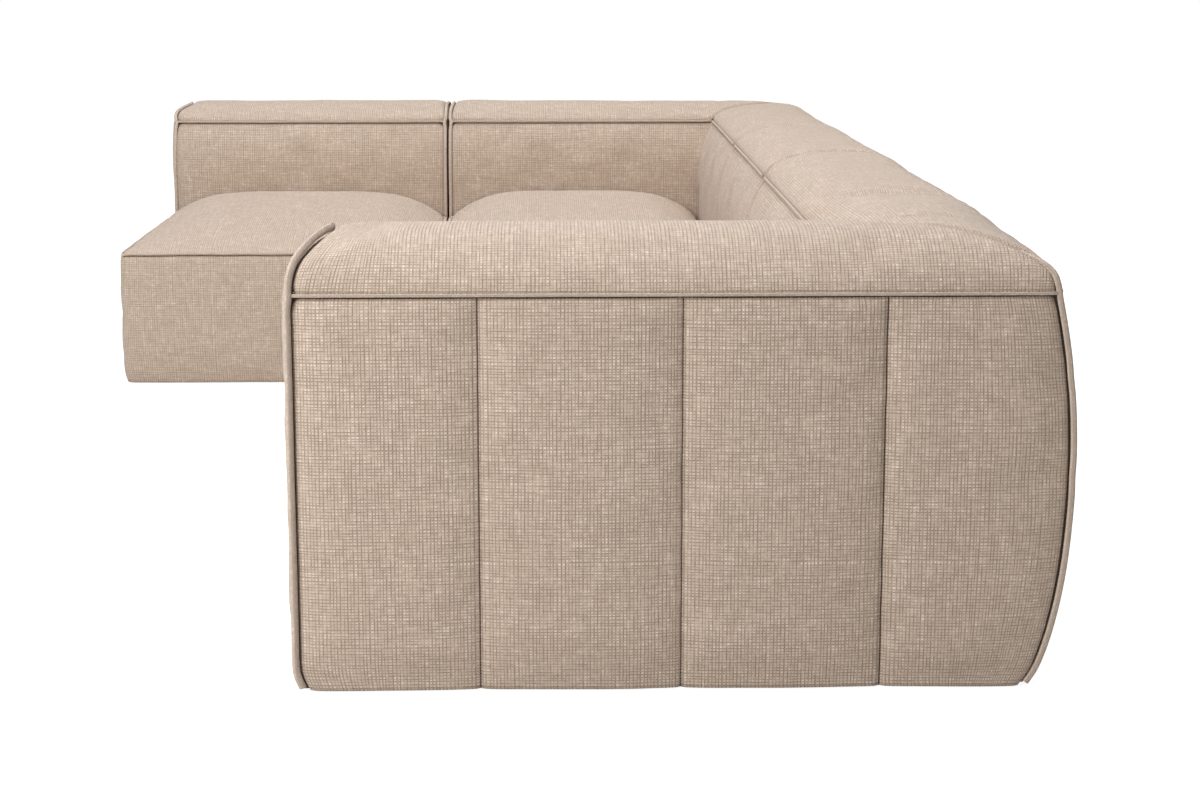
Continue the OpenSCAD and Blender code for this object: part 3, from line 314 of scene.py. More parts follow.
# One skin: a top patch of xs by ys lines, and four walls of rows under its edge.
# Sides count from the front, anticlockwise seen from above. A flush side has no seam past a place,
# because the next cover carries on from it
def buildSkin(spec):
    xs, ys, radii = spec["xs"], spec["ys"], spec["radii"]
    n, m = len(xs) - 1, len(ys) - 1
    X, Y = np.meshgrid(xs, ys, indexing="ij")
    Z = spec["top"](X, Y)
    xl, xh, yl, yh = spec["faces"](Z)
    x = warped(X, xs, (xl, xh), spec["margins"][0])
    y = warped(Y, ys, (yl, yh), spec["margins"][1])
    for c, sx, sy in ((0, 1, 1), (3, 1, -1), (1, -1, 1), (2, -1, -1)):
        a = X - xs[0] if sx > 0 else xs[-1] - X
        b = Y - ys[0] if sy > 0 else ys[-1] - Y
        (alongA, inA), (alongB, inB), (along0, in0) = (cornerShift(d, radii[c]) for d in (a, b, 0.0))
        wF, wL = np.clip(1 - b / sofa["fade"], 0, 1), np.clip(1 - a / sofa["fade"], 0, 1)
        x = x + sx * (alongA * wF + inB * wL - in0 * wF * wL)
        y = y + sy * (inA * wF + alongB * wL - along0 * wF * wL)
    top = np.stack([x, y, Z], -1).reshape(-1, 3)
    topIndex = np.arange((n + 1) * (m + 1)).reshape(n + 1, m + 1)
    loop = [(i, 0) for i in range(n)] + [(n, j) for j in range(m)]
    loop += [(i, m) for i in range(n, 0, -1)] + [(0, j) for j in range(m, 0, -1)]
    side = np.array([0] * n + [1] * m + [2] * n + [3] * m)
    li, lj = np.array(loop).T
    rx, ry = xs[li], ys[lj]
    starts = (0, n, n + m, 2 * n + m)
    lows = np.array([spec["low"](s, a, b) for s, a, b in zip(side, rx, ry)])
    for s, c in enumerate(starts):  # a corner reaches as low as the lower of its two sides
        lows[c] = min(spec["low"](s, rx[c], ry[c]), spec["low"]((s + 3) % 4, rx[c], ry[c]))
    zTop = Z[li, lj]
    fractions = np.linspace(0, 1, spec["rows"] + 1)[:, None]
    z = zTop + (lows - zTop) * fractions
    xl, xh, yl, yh = [np.broadcast_to(f, z.shape) for f in spec["faces"](z)]
    wx = warped(np.broadcast_to(rx, z.shape), xs, (xl, xh), spec["margins"][0])
    wy = warped(np.broadcast_to(ry, z.shape), ys, (yl, yh), spec["margins"][1])
    flat = np.isin(side, (0, 2))
    sign = np.array([1, -1, -1, 1])[side]
    fromLow, fromHigh = np.where(flat, rx - xs[0], ry - ys[0]), np.where(flat, xs[-1] - rx, ys[-1] - ry)
    along0, in0 = cornerShift(fromLow, np.array(radii)[[0, 1, 3, 0]][side])
    along1, in1 = cornerShift(fromHigh, np.array(radii)[[1, 2, 2, 3]][side])
    inward, along = np.maximum(in0, in1), along0 - along1
    panelNear = np.full(len(loop), far)
    for s, places in spec.get("panels", {}).items():
        for place in places:
            here = np.abs(np.where(flat, rx, ry) - place)
            panelNear = np.where(side == s, np.minimum(panelNear, here), panelNear)
    corded = {s: cords[kind] * cordCover[kind] for s, kind in spec.get("cordSides", {}).items()}
    cordedAt = {c: cords[kind] * cordCover[kind] for c, kind in spec.get("cordCorners", {}).items()}
    fadeTop = np.clip((zTop - z) / sofa["fade"], 0, 1)
    channel = np.clip(1 - panelNear / (back["panel"] / 2), 0, 1) ** back["channelPower"]
    pushed = sign * (inward + back["channel"] * channel * fadeTop)
    wall = np.stack([np.where(flat, wx + along, np.where(side == 1, xh, xl) + pushed),
                     np.where(flat, np.where(side == 0, yl, yh) + pushed, wy + along), z], -1)
    top[topIndex[li, lj]] = wall[0]
    count = len(loop)
    wallIndex = np.vstack([topIndex[li, lj],
                           len(top) + np.arange(spec["rows"] * count).reshape(spec["rows"], count)])
    points = np.vstack([top, wall[1:].reshape(-1, 3)])
    # Faces, and metric coordinates for the weave
    around = runLength(np.vstack([wall[spec["rows"] // 2], wall[spec["rows"] // 2, :1]]))
    grid = top.reshape(n + 1, m + 1, 3)
    if spec["alongX"]:
        U, V = X, np.broadcast_to(runLength(grid[n // 2]), X.shape)
    else:
        U, V = Y, np.broadcast_to(-runLength(grid[:, m // 2])[:, None], X.shape)
    faces, uvs = [], []
    for i in range(n):
        for j in range(m):
            corners = ((i, j), (i + 1, j), (i + 1, j + 1), (i, j + 1))
            faces.append([topIndex[c] for c in corners])
            uvs += [(U[c], V[c]) for c in corners]
    for k in range(spec["rows"]):
        for c in range(count):
            d = (c + 1) % count
            faces.append([wallIndex[k, c], wallIndex[k + 1, c], wallIndex[k + 1, d], wallIndex[k, d]])
            uvs += [(around[c], z[k, c]), (around[c], z[k + 1, c]),
                    (around[c + 1], z[k + 1, d]), (around[c + 1], z[k, d])]
    # Distance to the nearest edge seam over the surface, counted from the side of any cord on it; it sets the
    # grooves and the painted seam shade
    fromI, fromJ = np.zeros((2, n + 1, m + 1))
    fromI[1:] = np.linalg.norm(np.diff(grid, axis=0), axis=2).cumsum(0)
    fromJ[:, 1:] = np.linalg.norm(np.diff(grid, axis=1), axis=2).cumsum(1)
    runs = (xs, ys, xs[::-1], ys[::-1])
    flush = [runs[s] >= spec.get("flush", {}).get(s, np.inf) for s in range(4)]
    rim = [f - corded.get(s, 0.0) for s, f in enumerate(flush)]
    nearI = np.minimum(fromI + rim[3][::-1], fromI[-1] - fromI + rim[1])
    nearJ = np.minimum(fromJ + rim[0][:, None], fromJ[:, -1:] - fromJ + rim[2][::-1][:, None])
    topNear = np.minimum(nearI, nearJ)
    wallNear = zTop - z - np.array([corded.get(int(s), 0.0) for s in side])
    for c in spec.get("corners", []):
        away = np.abs(around[:-1] - around[starts[c]])
        wallNear = np.minimum(wallNear, np.minimum(away, around[-1] - away) - cordedAt.get(c, 0.0))
    near = np.concatenate([topNear.ravel(), wallNear[1:].ravel()])
    mitre = np.full(len(points), far)  # distance to the seams inside a face: mitres and panel seams
    if "mitre" in spec:
        mitre[:len(top)] = spec["mitre"](X, Y).ravel()
    mitre[wallIndex[0]] = np.minimum(mitre[wallIndex[0]], panelNear)
    mitre[wallIndex[1:]] = panelNear
    free = np.ones(len(points))
    free[len(top):] = np.array([spec["free"](s, zz) for row in z[1:] for s, zz in zip(side, row)])
    free[wallIndex[0]] = 0
    free[np.minimum(near, np.abs(mitre)) < 1e-6] = 0
    if "turn" in spec:
        points = spec["turn"](points)
    free[wallIndex[-2:].ravel()] = 0
    flushEdges = {frozenset(wallIndex[0, (starts[s] + k + np.arange(2)) % count].tolist())
                  for s in range(4) for k in range(len(flush[s]) - 1) if flush[s][k] and flush[s][k + 1]}
    return {"points": points, "faces": faces, "uvs": uvs, "near": np.minimum(near, sofa["nearCap"]),
            "mitre": mitre, "free": free, "top": topIndex, "wall": wallIndex, "starts": starts,
            "n": n, "m": m, "flush": flush, "flushEdges": flushEdges}


def seatForm(x0, x1, openSides, corded=()):
    def top(X, Y):
        u = (X - (x0 + x1) / 2) / ((x1 - x0) / 2)
        across = 1 - np.abs(np.clip(u, -1, 1)) ** seat["sidePower"]
        return seat["edge"] + seat["crown"] * across * (1 - (1 - Y / seatDepth) ** seat["frontPower"])

    def faces(z):
        hem = hemIn(z)
        share = np.clip((z - sofa["low"]) / (seat["edge"] - sofa["low"]), 0, 1)
        swell = seat["swell"] * np.sin(np.pi * share)
        return [x0 + hem * (3 in openSides), x1 - hem * (1 in openSides),
                (hem - swell) * (0 in openSides), seatDepth]

    return {"xs": gridLines([x0, x1], sofa["cell"]), "ys": gridLines([0, seatDepth], sofa["cell"]),
            "top": top, "faces": faces, "radii": [seat["radius"]] * 4, "rows": seat["rows"],
            "margins": (0.1, 0.1), "alongX": True, "cordSides": {s: "piping" for s in corded},
            "foot": (x0, x1, 0, seatDepth), "pocket": seat["pocket"],
            "pads": [sofa["facePad"] if s in openSides else sofa["pad"] for s in (3, 1, 0, 2)],
            "low": lambda s, x, y: sofa["low"] if s in openSides else sofa["hiddenLow"],
            "free": lambda s, z: float(s in openSides)}


def backForm(x0, x1, openSides, crowns, rears, left, right):
    leanEnd, bellyEnd, armEnd = left == "lean", right == "belly", right == "arm"
    leftRound, leftRadius = ends.get(left, (0, sofa["flush"]))
    rightRound, rightRadius = ends.get(right, (0, sofa["flush"]))
    seam, half = back["seam"], (back["thick"] - back["bellyTop"] - back["lean"]) / 2
    y0, y1 = backY + back["lean"], sofa["depth"] - back["bellyTop"]
    xa = x0 - back["lean"] * leanEnd
    xb = x1 - back["bellyTop"] * bellyEnd
    inner = xb - 2 * half  # where the side back starts, on the corner module's far back

    def top(X, Y):  # the roll grows to the armrest's height where it runs into it
        near = np.maximum(Y - y0, X - inner) if bellyEnd else Y - y0
        power = blendTo(*rears, np.clip((X - x0) / (x1 - x0), 0, 1))
        toArm = np.clip((X - x1) / arm["blend"] + 1, 0, 1) * armEnd
        toArm = toArm ** 2 * (3 - 2 * toArm)
        crown = blendTo(*crowns, (X - x0) / (x1 - x0))
        crown = blendTo(crown, arm["seam"] + arm["crown"] - seam, toArm)
        front = rollUp(near / half, blendTo(back["frontPower"], arm["power"], toArm))
        rear = rollUp((y1 - Y) / blendTo(half, arm["rearRound"], toArm), blendTo(power, arm["power"], toArm))
        if bellyEnd:
            rear = rear * rollUp((xb - X) / half, rears[1])
        return seam + crown * np.minimum(front, rear)

    def faces(z):
        hem = hemIn(z)
        roll = rollIn(z, seam, crowns[0])
        start = x0 - leanIn(z) if leanEnd else x0 + leftRound * roll + hem * (3 in openSides)
        stop = x1 - bellyIn(z, seam) - hem if bellyEnd else x1 - rightRound * roll
        return [start, stop, backY + leanIn(z), sofa["depth"] - bellyIn(z, seam) - hem]

    count = max(2, round((x1 - x0) / back["panel"]))
    seams = [x0 + (x1 - x0) * k / count for k in range(1, count)]
    xs = gridLines([xa] + seams + [xb], sofa["cell"])
    if bellyEnd:
        seams = [s for s in seams if s < inner - back["seamsApart"]] + [inner]
        xs = np.concatenate([gridLines([xa] + seams, sofa["cell"]),
                             rollLines(inner, xb, back["across"])[1:]])
    spec = {"xs": xs, "ys": rollLines(y0, y1, back["across"]), "top": top, "faces": faces,
            "rows": back["rows"], "margins": (0.15, 0.12), "alongX": True,
            "panels": {2: seams}, "foot": (x0, x1, backY, sofa["depth"] - back["foot"]),
            "pads": (sofa["pad"] if left == "outer" else back["pad"],
                     sofa["facePad"] if bellyEnd else back["pad"], back["seatPad"], sofa["facePad"]),
            "pocket": back["pocket"], "corners": [0, 1, 2, 3],
            "radii": [leftRadius, rightRadius, rightRadius, leftRadius], "cordSides": {}, "cordCorners": {},
            "low": lambda s, x, y: sofa["low"] if s in openSides else sofa["hiddenLow"],
            "free": lambda s, z: float(s in openSides or (s == 0 and z > sofa["heldBelow"]))}
    for name, s, after in ((left, 3, 0), (right, 1, 2)):
        if name in ends:  # a cord runs round this end
            kind = "thin" if name == "joined" else "piping"
            spec["cordSides"][s] = spec["cordCorners"][s] = spec["cordCorners"][after] = kind
    if armEnd:  # runs straight on into the armrest
        spec.update(flush={1: -1}, corners=[0, 2, 3])
    if leanEnd:  # starts against the corner module's far back
        spec.update(flush={3: -1}, corners=[1, 2, 3])
    if bellyEnd:  # mitred corner: the seam crosses its top on the diagonal
        spec["cordCorners"][2] = "piping"
        spec.update(flush={0: inner + sofa["flush"]},
                    radii=[leftRadius, sofa["flush"], sofa["rounding"], leftRadius],
                    foot=(x0, x1 - back["foot"], backY, sofa["depth"] - back["foot"]))
        spec["mitre"] = lambda X, Y: np.where(X > inner - sofa["mitreFrom"],
                                              ((X - inner) - (Y - y0)) / math.sqrt(2), far)
    return spec


def armForm():
    x0, x1 = sofa["armSeatWidth"] + sofa["softFit"], sofa["armSeatWidth"] + sofa["armWidth"]
    seam, half = arm["seam"], sofa["armWidth"] / 2
    y0, y1 = -arm["proud"], sofa["depth"] - back["bellyTop"]
    join = backY + back["lean"]  # the back's roll runs in from here to the rear
    fan = y1 - arm["rearRound"] - join

    def top(X, Y):
        outer = np.minimum((x1 - X) / half, (y1 - Y) / arm["rearRound"])
        inner = np.maximum(X - x0, Y - join) / half
        base = blendTo(back["seam"], seam, (X - x0) / (x1 - x0))
        ridge = seam + arm["crown"]
        return base + (ridge - base) * rollUp(np.minimum(outer, inner), arm["power"])

    def faces(z):
        front = arm["frontRound"] * rollIn(z, seam, arm["crown"], arm["endPower"]) + hemIn(z, arm["frontHem"])
        hem = hemIn(z)
        return [x0 + 0 * z, x1 - hem * arm["sideHem"], y0 + front, sofa["depth"] - bellyIn(z, seam) - hem]

    def mitre(X, Y):  # seam from the outer rear corner over the ridge to the inner corner of the back
        outer, rear = x1 - X, y1 - Y
        line = np.where(outer < half, outer * arm["rearRound"] / half,
                        arm["rearRound"] + (outer - half) * fan / half)
        return np.where(Y > join - sofa["mitreFrom"], (rear - line) * arm["mitreSlope"], far)

    def turn(p):  # above the seat the front end turns back at its seat side, and the rear corner draws in
        hold, width = arm["turnHold"], x1 - x0
        share = np.clip((1 + hold) * (x1 - p[:, 0]) / width - hold, 0, 1)
        share = share * np.clip((p[:, 2] - arm["turnFrom"]) / arm["turnRise"], 0, 1)
        p[:, 1] += arm["turn"] * share * np.clip(1 - (p[:, 1] - y0) / arm["turnReach"], 0, 1)
        outer = np.clip((p[:, 0] - x0) / width, 0, 1)
        outer = outer * np.clip((p[:, 1] - arm["tuckFrom"]) / arm["tuckReach"], 0, 1)
        p[:, 1] -= arm["tuck"] * outer * np.clip((p[:, 2] - back["belly"]) / (seam - back["belly"]), 0, 1) ** 2
        return p

    seams = [y0 + arm["firstPanel"] + k * back["panel"] for k in range(3)]
    turns = np.pi / arm["across"] * np.arange(arm["across"] // 2 + 1)
    ys = np.concatenate([gridLines([y0] + seams[:2] + [join], sofa["cell"])[:-1],
                         join + fan * (1 - np.cos(turns)),
                         y1 - arm["rearRound"] * (1 - np.cos(turns[::-1]))[1:]])
    ys[np.abs(ys - seams[2]).argmin()] = seams[2]
    return {"xs": rollLines(x0, x1, arm["across"]), "ys": ys, "top": top, "faces": faces, "turn": turn,
            "radii": [sofa["rounding"]] * 3 + [sofa["flush"]], "rows": arm["rows"], "mitre": mitre,
            "cordSides": {0: "edging"}, "cordCorners": {0: "edging", 1: "edging", 2: "piping"},
            "margins": (0.1, 0.15), "alongX": False, "panels": {1: seams},
            "corners": [0, 1, 2, 3], "flush": {3: join + sofa["flush"]}, "pocket": arm["pocket"],
            "foot": (x0, x1, 0, sofa["depth"] - back["foot"]),
            "pads": (sofa["facePad"], sofa["facePad"], sofa["pad"], sofa["facePad"]),
            "low": lambda s, x, y: sofa["hiddenLow"] if s == 3 and y > -sofa["gap"] else sofa["low"],
            "free": lambda s, z: float(s != 3 or z > sofa["heldBelow"])}


print("forms described")

cornerSide, runMiddle, runArm = sideRun(farFrontY + seatDepth), sideRun(farFrontY), sideRun(armFarY)
runCorner, runEnd = farRun(frontX), farRun(frontX - sofa["endWidth"])
middleEnds = (sideIn, sofa["middleWidth"] - sideIn)
armEnds = (sideIn, sofa["armSeatWidth"] - sofa["softFit"])
endEnds = (0, sofa["endWidth"] - sideIn)
# Covers of each module: node, form, and local to world. The pairs of a back are the heights of its
# crown and the powers of its rear curve, at its two ends
covers = {
    "corner_module": [
        ("corner_seat_cover", seatForm(sideIn, seatDepth, [], [0, 3]), runCorner),
        ("corner_side_back_cover",
         backForm(0, seatDepth - sideIn, [2], (0.041, 0.046), (2.3, 2.9), "lean", "joined"), cornerSide),
        ("corner_far_back_cover",
         backForm(sideIn, sofa["depth"], [1, 2], (0.040, 0.039), (4.0, 2.3), "piped", "belly"), runCorner),
    ],
    "middle_module": [
        ("middle_seat_cover", seatForm(*middleEnds, [0], [1, 3]), runMiddle),
        ("middle_back_cover",
         backForm(*middleEnds, [2], (0.046, 0.052), (2.9, 3.6), "joined", "joined"), runMiddle),
    ],
    "arm_module": [
        ("arm_seat_cover", seatForm(*armEnds, [0], [3]), runArm),
        ("arm_back_cover", backForm(*armEnds, [2], (0.052, 0.057), (3.6, 4.0), "joined", "arm"), runArm),
        ("armrest_cover", armForm(), runArm),
    ],
    "end_module": [
        ("end_seat_cover", seatForm(*endEnds, [0, 3], [1]), runEnd),
        ("end_back_cover",
         backForm(sofa["inset"], endEnds[1], [2, 3], (0.040, 0.040), (4.0, 4.0), "outer", "piped"), runEnd),
    ],
}


def addObject(name, data):
    obj = bpy.data.objects.new(name, data)
    scene.collection.objects.link(obj)
    return obj


def skinObject(skin):
    mesh = bpy.data.meshes.new(skin["node"].replace("_cover", "_upholstery"))
    places = skin["toWorld"](skin["points"])
    mesh.from_pydata(places.tolist(), [], [[int(i) for i in f] for f in skin["faces"]])
    mesh.uv_layers.new(name="weave").data.foreach_set("uv", np.array(skin["uvs"]).ravel())
    for attribute, values in (("seam", skin["near"]), ("mitre", skin["mitre"])):
        mesh.attributes.new(attribute, "FLOAT", "POINT").data.foreach_set("value", values)
    mesh.polygons.foreach_set("use_smooth", [True] * len(mesh.polygons))
    crease = mesh.attributes.new("crease_edge", "FLOAT", "EDGE")
    for edge in mesh.edges:  # a flush edge stays crisp, so that the next cover meets it
        if frozenset(edge.vertices) in skin["flushEdges"]:
            edge.use_edge_sharp = True
            crease.data[edge.index].value = 1.0
    return addObject(mesh.name, mesh)


def readFloats(data, key, width=3):  # rows of values read from a part of a mesh
    out = np.empty(len(data) * width)
    data.foreach_get(key, out)
    return out.reshape(-1, width)


def applyModifiers(obj):
    graph, old = bpy.context.evaluated_depsgraph_get(), obj.data
    made = bpy.data.meshes.new_from_object(obj.evaluated_get(graph), preserve_all_data_layers=True,
                                           depsgraph=graph)
    obj.modifiers.clear()
    obj.data = made
    bpy.data.meshes.remove(old)


skins = []
for body, pieces in covers.items():
    for node, form, toWorld in pieces:
        skin = buildSkin(form)
        skin.update(body=body, node=node, toWorld=toWorld, form=form)
        skin["object"] = skinObject(skin)
        skins.append(skin)
print("skins built:", sum(len(s["faces"]) for s in skins), "faces")

# Cloth simulation: filling presses the covers out between their sewn lines
filling = {
    "frames": 18, "cap": 0.006,
    "cloth": {"quality": 6, "mass": 0.4, "tension_stiffness": 20, "compression_stiffness": 20,
              "shear_stiffness": 8, "bending_stiffness": 6.0, "use_pressure": True,
              "uniform_pressure_force": 1.2, "shrink_min": -0.006, "vertex_group_mass": "held"},
}


def simulate():
    for skin in skins:
        obj = skin["object"]
        held = obj.vertex_groups.new(name="held")
        for weight in np.unique(skin["free"]):
            members = np.flatnonzero(skin["free"] == weight)
            held.add([int(i) for i in members], float(1 - weight), "REPLACE")
        skin["rest"] = readFloats(obj.data.vertices, "co")
        modifier = obj.modifiers.new("filling", "CLOTH")
        for name, value in filling["cloth"].items():
            setattr(modifier.settings, name, value)
        modifier.settings.effector_weights.gravity = 0
        modifier.collision_settings.use_collision = False
        modifier.point_cache.frame_end = filling["frames"]
    scene.frame_start, scene.frame_end = 1, filling["frames"]
    for number in range(1, filling["frames"] + 1):
        scene.frame_set(number)
    graph = bpy.context.evaluated_depsgraph_get()
    for skin in skins:
        obj = skin["object"]
        shift = readFloats(obj.evaluated_get(graph).data.vertices, "co") - skin["rest"]
        length = np.linalg.norm(shift, axis=1, keepdims=True)
        shift *= np.minimum(1, filling["cap"] / np.maximum(length, 1e-9))
        obj.modifiers.clear()
        obj.vertex_groups.clear()
        obj.data.vertices.foreach_set("co", (skin["rest"] + shift).ravel())
        obj.data.update()
        print("  filled", obj.name, "mean shift mm", round(float(np.abs(shift).mean()) * 1000, 2))
    scene.frame_set(1)


simulate()
print("cloth simulated")

# Finish of the covers: finer mesh, sewn grooves, puckers beside seams and slack in the cloth
finish = {
    "groove": 0.0030, "grooveWidth": 0.0038, "puff": 0.0018, "puffReach": 0.014, "pucker": 0.0006,
    "puckerSize": 0.014, "puckerReach": 0.03, "clear": 0.004, "clearReach": 0.05, "slack": 0.0014,
    "slackSize": 0.16, "crease": 0.0012, "creaseSize": 0.045, "creaseStretch": (0.6, 1, 1.7),
    "creaseStart": (9, 4, 7),
}


def relief(obj):  # moves every point along its normal by grooves, puckers and slack
    mesh = obj.data
    points, normals = readFloats(mesh.vertices, "co"), readFloats(mesh.vertex_normals, "vector")
    near, mitre = (readFloats(mesh.attributes[name].data, "value", 1)[:, 0] for name in ("seam", "mitre"))
    nearest = np.maximum(np.minimum(near, np.abs(mitre)), 0)

    def ripple(places, size, start=(0, 0, 0)):
        return np.array([noise.noise(Vector(p) / size + Vector(start)) for p in places])

    shift = -finish["groove"] * np.exp(-(nearest / finish["grooveWidth"]) ** 2)
    shift -= finish["puff"] * np.exp(-nearest / finish["puffReach"])
    slack = ripple(points, finish["slackSize"])
    crease = ripple(points * finish["creaseStretch"], finish["creaseSize"], finish["creaseStart"])
    pucker = ripple(points, finish["puckerSize"])
    inside = np.clip((nearest - finish["clear"]) / finish["clearReach"], 0, 1)
    shift += finish["slack"] * slack * inside + finish["crease"] * crease * inside
    shift += (finish["pucker"] * pucker * np.exp(-nearest / finish["puckerReach"])
              * np.clip(nearest / finish["clear"], 0, 1))
    mesh.vertices.foreach_set("co", (points + normals * shift[:, None]).ravel())
    mesh.update()


for skin in skins:
    obj = skin["object"]
    finer = obj.modifiers.new("finer", "SUBSURF")
    finer.levels = finer.render_levels = 2
    applyModifiers(obj)
    skin["smooth"] = readFloats(obj.data.vertices, "co")
    skin["normals"] = readFloats(obj.data.vertex_normals, "vector")
    relief(obj)
print("covers refined")


def closePocket(skin):  # turns the lower edge in and lines the pocket for the frame
    obj, pads, foot = skin["object"], skin["form"]["pads"], skin["form"]["foot"]
    corners = skin["toWorld"](np.array([[foot[0] + pads[0], foot[2] + pads[2], 0],
                                        [foot[1] - pads[1], foot[3] - pads[3], 0]]))
    low, high = corners.min(0), corners.max(0)
    work = bmesh.new()
    work.from_mesh(obj.data)
    weaveLayer = work.loops.layers.uv["weave"]
    edges = [e for e in work.edges if e.is_boundary]
    for step in ("in", "up"):
        made = bmesh.ops.extrude_edge_only(work, edges=edges)["geom"]
        for v in (g for g in made if isinstance(g, bmesh.types.BMVert)):
            if step == "in":
                v.co.x = min(max(v.co.x, low[0]), high[0])
                v.co.y = min(max(v.co.y, low[1]), high[1])
            else:
                v.co.z = skin["form"]["pocket"]
        for f in (g for g in made if isinstance(g, bmesh.types.BMFace)):
            for corner in f.loops:
                corner[weaveLayer].uv = (corner.vert.co.x + corner.vert.co.y, corner.vert.co.z)
        edges = [g for g in made if isinstance(g, bmesh.types.BMEdge) and g.is_boundary]
    bmesh.ops.holes_fill(work, edges=edges, sides=0)
    work.to_mesh(obj.data)
    work.free()


for skin in skins:
    closePocket(skin)
    obj = skin["object"]
    obj.data.materials.clear()
    obj.data.materials.append(upholstery)
print("pockets lined")

# Piping, welts and stitches follow the sewn lines of the covers
trim = {
    "sides": 10, "cordCut": 0.005, "seatCord": 0.0012, "cornerCord": 0.0027, "rising": (-0.006, -0.002, 0.0),
    "weltAway": 0.0030, "weltLift": 0.0015, "weltCut": 0.006, "stitchAway": 0.0072, "stitchLift": 0.0004,
}
stitches = {"Pitch": 0.0062, "Length": 0.0038, "Radius": 0.0006}


def smoothPath(points, steps=4):  # Catmull-Rom curve through the points
    p = np.vstack([2 * points[0] - points[1], points, 2 * points[-1] - points[-2]])
    out = []
    for k in range(1, len(p) - 2):
        for t in np.arange(steps) / steps:
            out.append(0.5 * (2 * p[k] + (p[k + 1] - p[k - 1]) * t
                              + (2 * p[k - 1] - 5 * p[k] + 4 * p[k + 1] - p[k + 2]) * t ** 2
                              + (3 * p[k] - p[k - 1] - 3 * p[k + 1] + p[k + 2]) * t ** 3))
    return np.array(out + [points[-1]])


def onSkin(skin, indices, lift):
    indices = np.array(indices)
    return skin["smooth"][indices] + skin["normals"][indices] * np.reshape(lift, (-1, 1))


def beside(skin, line, neighbours, away, lift):  # a line that runs beside a seam, on its surface
    a, b = onSkin(skin, line, lift), onSkin(skin, neighbours, lift)
    gap = b - a
    return a + gap / np.linalg.norm(gap, axis=1, keepdims=True) * away


def sideRim(skin, s):  # points along the sewn top edge of one wall
    around = (skin["starts"][s] + np.arange(len(skin["flush"][s]))) % skin["wall"].shape[1]
    return skin["wall"][0, around][~skin["flush"][s]]


def aboveRim(skin, s):  # the points of the top patch next to them
    t, n, m = skin["top"], skin["n"], skin["m"]
    return {0: t[:, 1], 1: t[n - 1, :], 2: t[::-1, m - 1], 3: t[1, ::-1]}[s][~skin["flush"][s]]


def cornerLine(skin, c):  # a vertical corner from the rim down
    return list(skin["wall"][:, skin["starts"][c]])


def endOutline(skin, s):  # up one corner, over the end of the roll and down the other corner
    return cornerLine(skin, s)[::-1] + list(sideRim(skin, s))[1:-1] + cornerLine(skin, (s + 1) % 4)


lines = {kind: {} for kind in (*cords, "stitches")}


def addLine(kind, skin, points, cuts=(0, 0)):  # cuts shorten the line at its start and end
    path = smoothPath(points)
    run = runLength(path)
    keep = (run >= cuts[0]) & (run <= run[-1] - cuts[1])
    lines[kind].setdefault(skin["body"], []).append(path[keep])


def sewEdge(skin, s):  # a welt on a seam with a row of stitches above it
    edge, above, form = sideRim(skin, s), aboveRim(skin, s), skin["form"]
    cuts = []  # both stop short of a thin cord, and of the cord of the outer rear corner
    for t, c in (((s + 3) % 4, s), ((s + 1) % 4, (s + 1) % 4)):
        rear = c == 2 and form.get("cordCorners", {}).get(c) == "piping"
        cuts.append(trim["weltCut"] * (rear or form["cordSides"].get(t) == "thin"))
    addLine("welts", skin, beside(skin, edge, above, trim["weltAway"], trim["weltLift"]), cuts)
    addLine("stitches", skin, beside(skin, edge, above, trim["stitchAway"], trim["stitchLift"]), cuts)


def sewMitre(skin, diagonal):  # stitches on both sides of a mitre seam
    line = [skin["top"][i, j] for i, j in diagonal]
    for di in (-1, 1):
        beyond = [skin["top"][min(max(i + di, 0), skin["n"]), j] for i, j in diagonal]
        keep = [k for k, (a, b) in enumerate(zip(line, beyond)) if a != b]
        addLine("stitches", skin, beside(skin, [line[k] for k in keep], [beyond[k] for k in keep],
                                         trim["stitchAway"], trim["stitchLift"]))


def cordCorner(skin):  # the cord of the outer rear corner comes out of the mitre seam
    start = [skin["top"][skin["n"] - k, skin["m"] - k] for k in (4, 3, 2, 1)]
    down, full = cornerLine(skin, 2), trim["cornerCord"]
    lifts = [*trim["rising"], full / 2] + [full] * len(down)
    addLine("piping", skin, onSkin(skin, start + down, lifts), (0, trim["cordCut"]))


for skin in skins:
    node, n, m, form = skin["node"], skin["n"], skin["m"], skin["form"]
    if "seat" in node:
        for s in {"corner_seat_cover": [], "end_seat_cover": [0, 3]}.get(node, [0]):
            sewEdge(skin, s)
        for s in form["cordSides"]:
            cord = beside(skin, sideRim(skin, s), aboveRim(skin, s), trim["seatCord"], trim["seatCord"])
            addLine("piping", skin, cord)
        continue
    for s, kind in form["cordSides"].items():
        addLine(kind, skin, onSkin(skin, endOutline(skin, s), cordLift[kind]), (trim["cordCut"],) * 2)
    if node == "armrest_cover":
        cordCorner(skin)
        for s in (1, 2, 3):
            sewEdge(skin, s)
        sewMitre(skin, [(n - k, m - k) for k in range(1, arm["across"])])
    else:
        for s in (0, 2) + ((1,) if node == "corner_far_back_cover" else ()):
            sewEdge(skin, s)
        if node == "corner_far_back_cover":
            cordCorner(skin)
            sewMitre(skin, [(n - back["across"] + k, k) for k in range(1, back["across"])])


def geometryTree(name, inputs):  # node group for a modifier, with a material and other named inputs
    tree = bpy.data.node_groups.new(name, "GeometryNodeTree")
    tree.is_modifier = True
    tree.interface.new_socket("Geometry", in_out="INPUT", socket_type="NodeSocketGeometry")
    for label, kind in {**inputs, "Material": "Material"}.items():
        tree.interface.new_socket(label, in_out="INPUT", socket_type="NodeSocket" + kind)
    tree.interface.new_socket("Geometry", in_out="OUTPUT", socket_type="NodeSocketGeometry")
    given = addNode(tree, "NodeGroupInput")
    return tree, given, addNode(tree, "GeometryNodeMeshToCurve", {0: given["Geometry"]})[0]


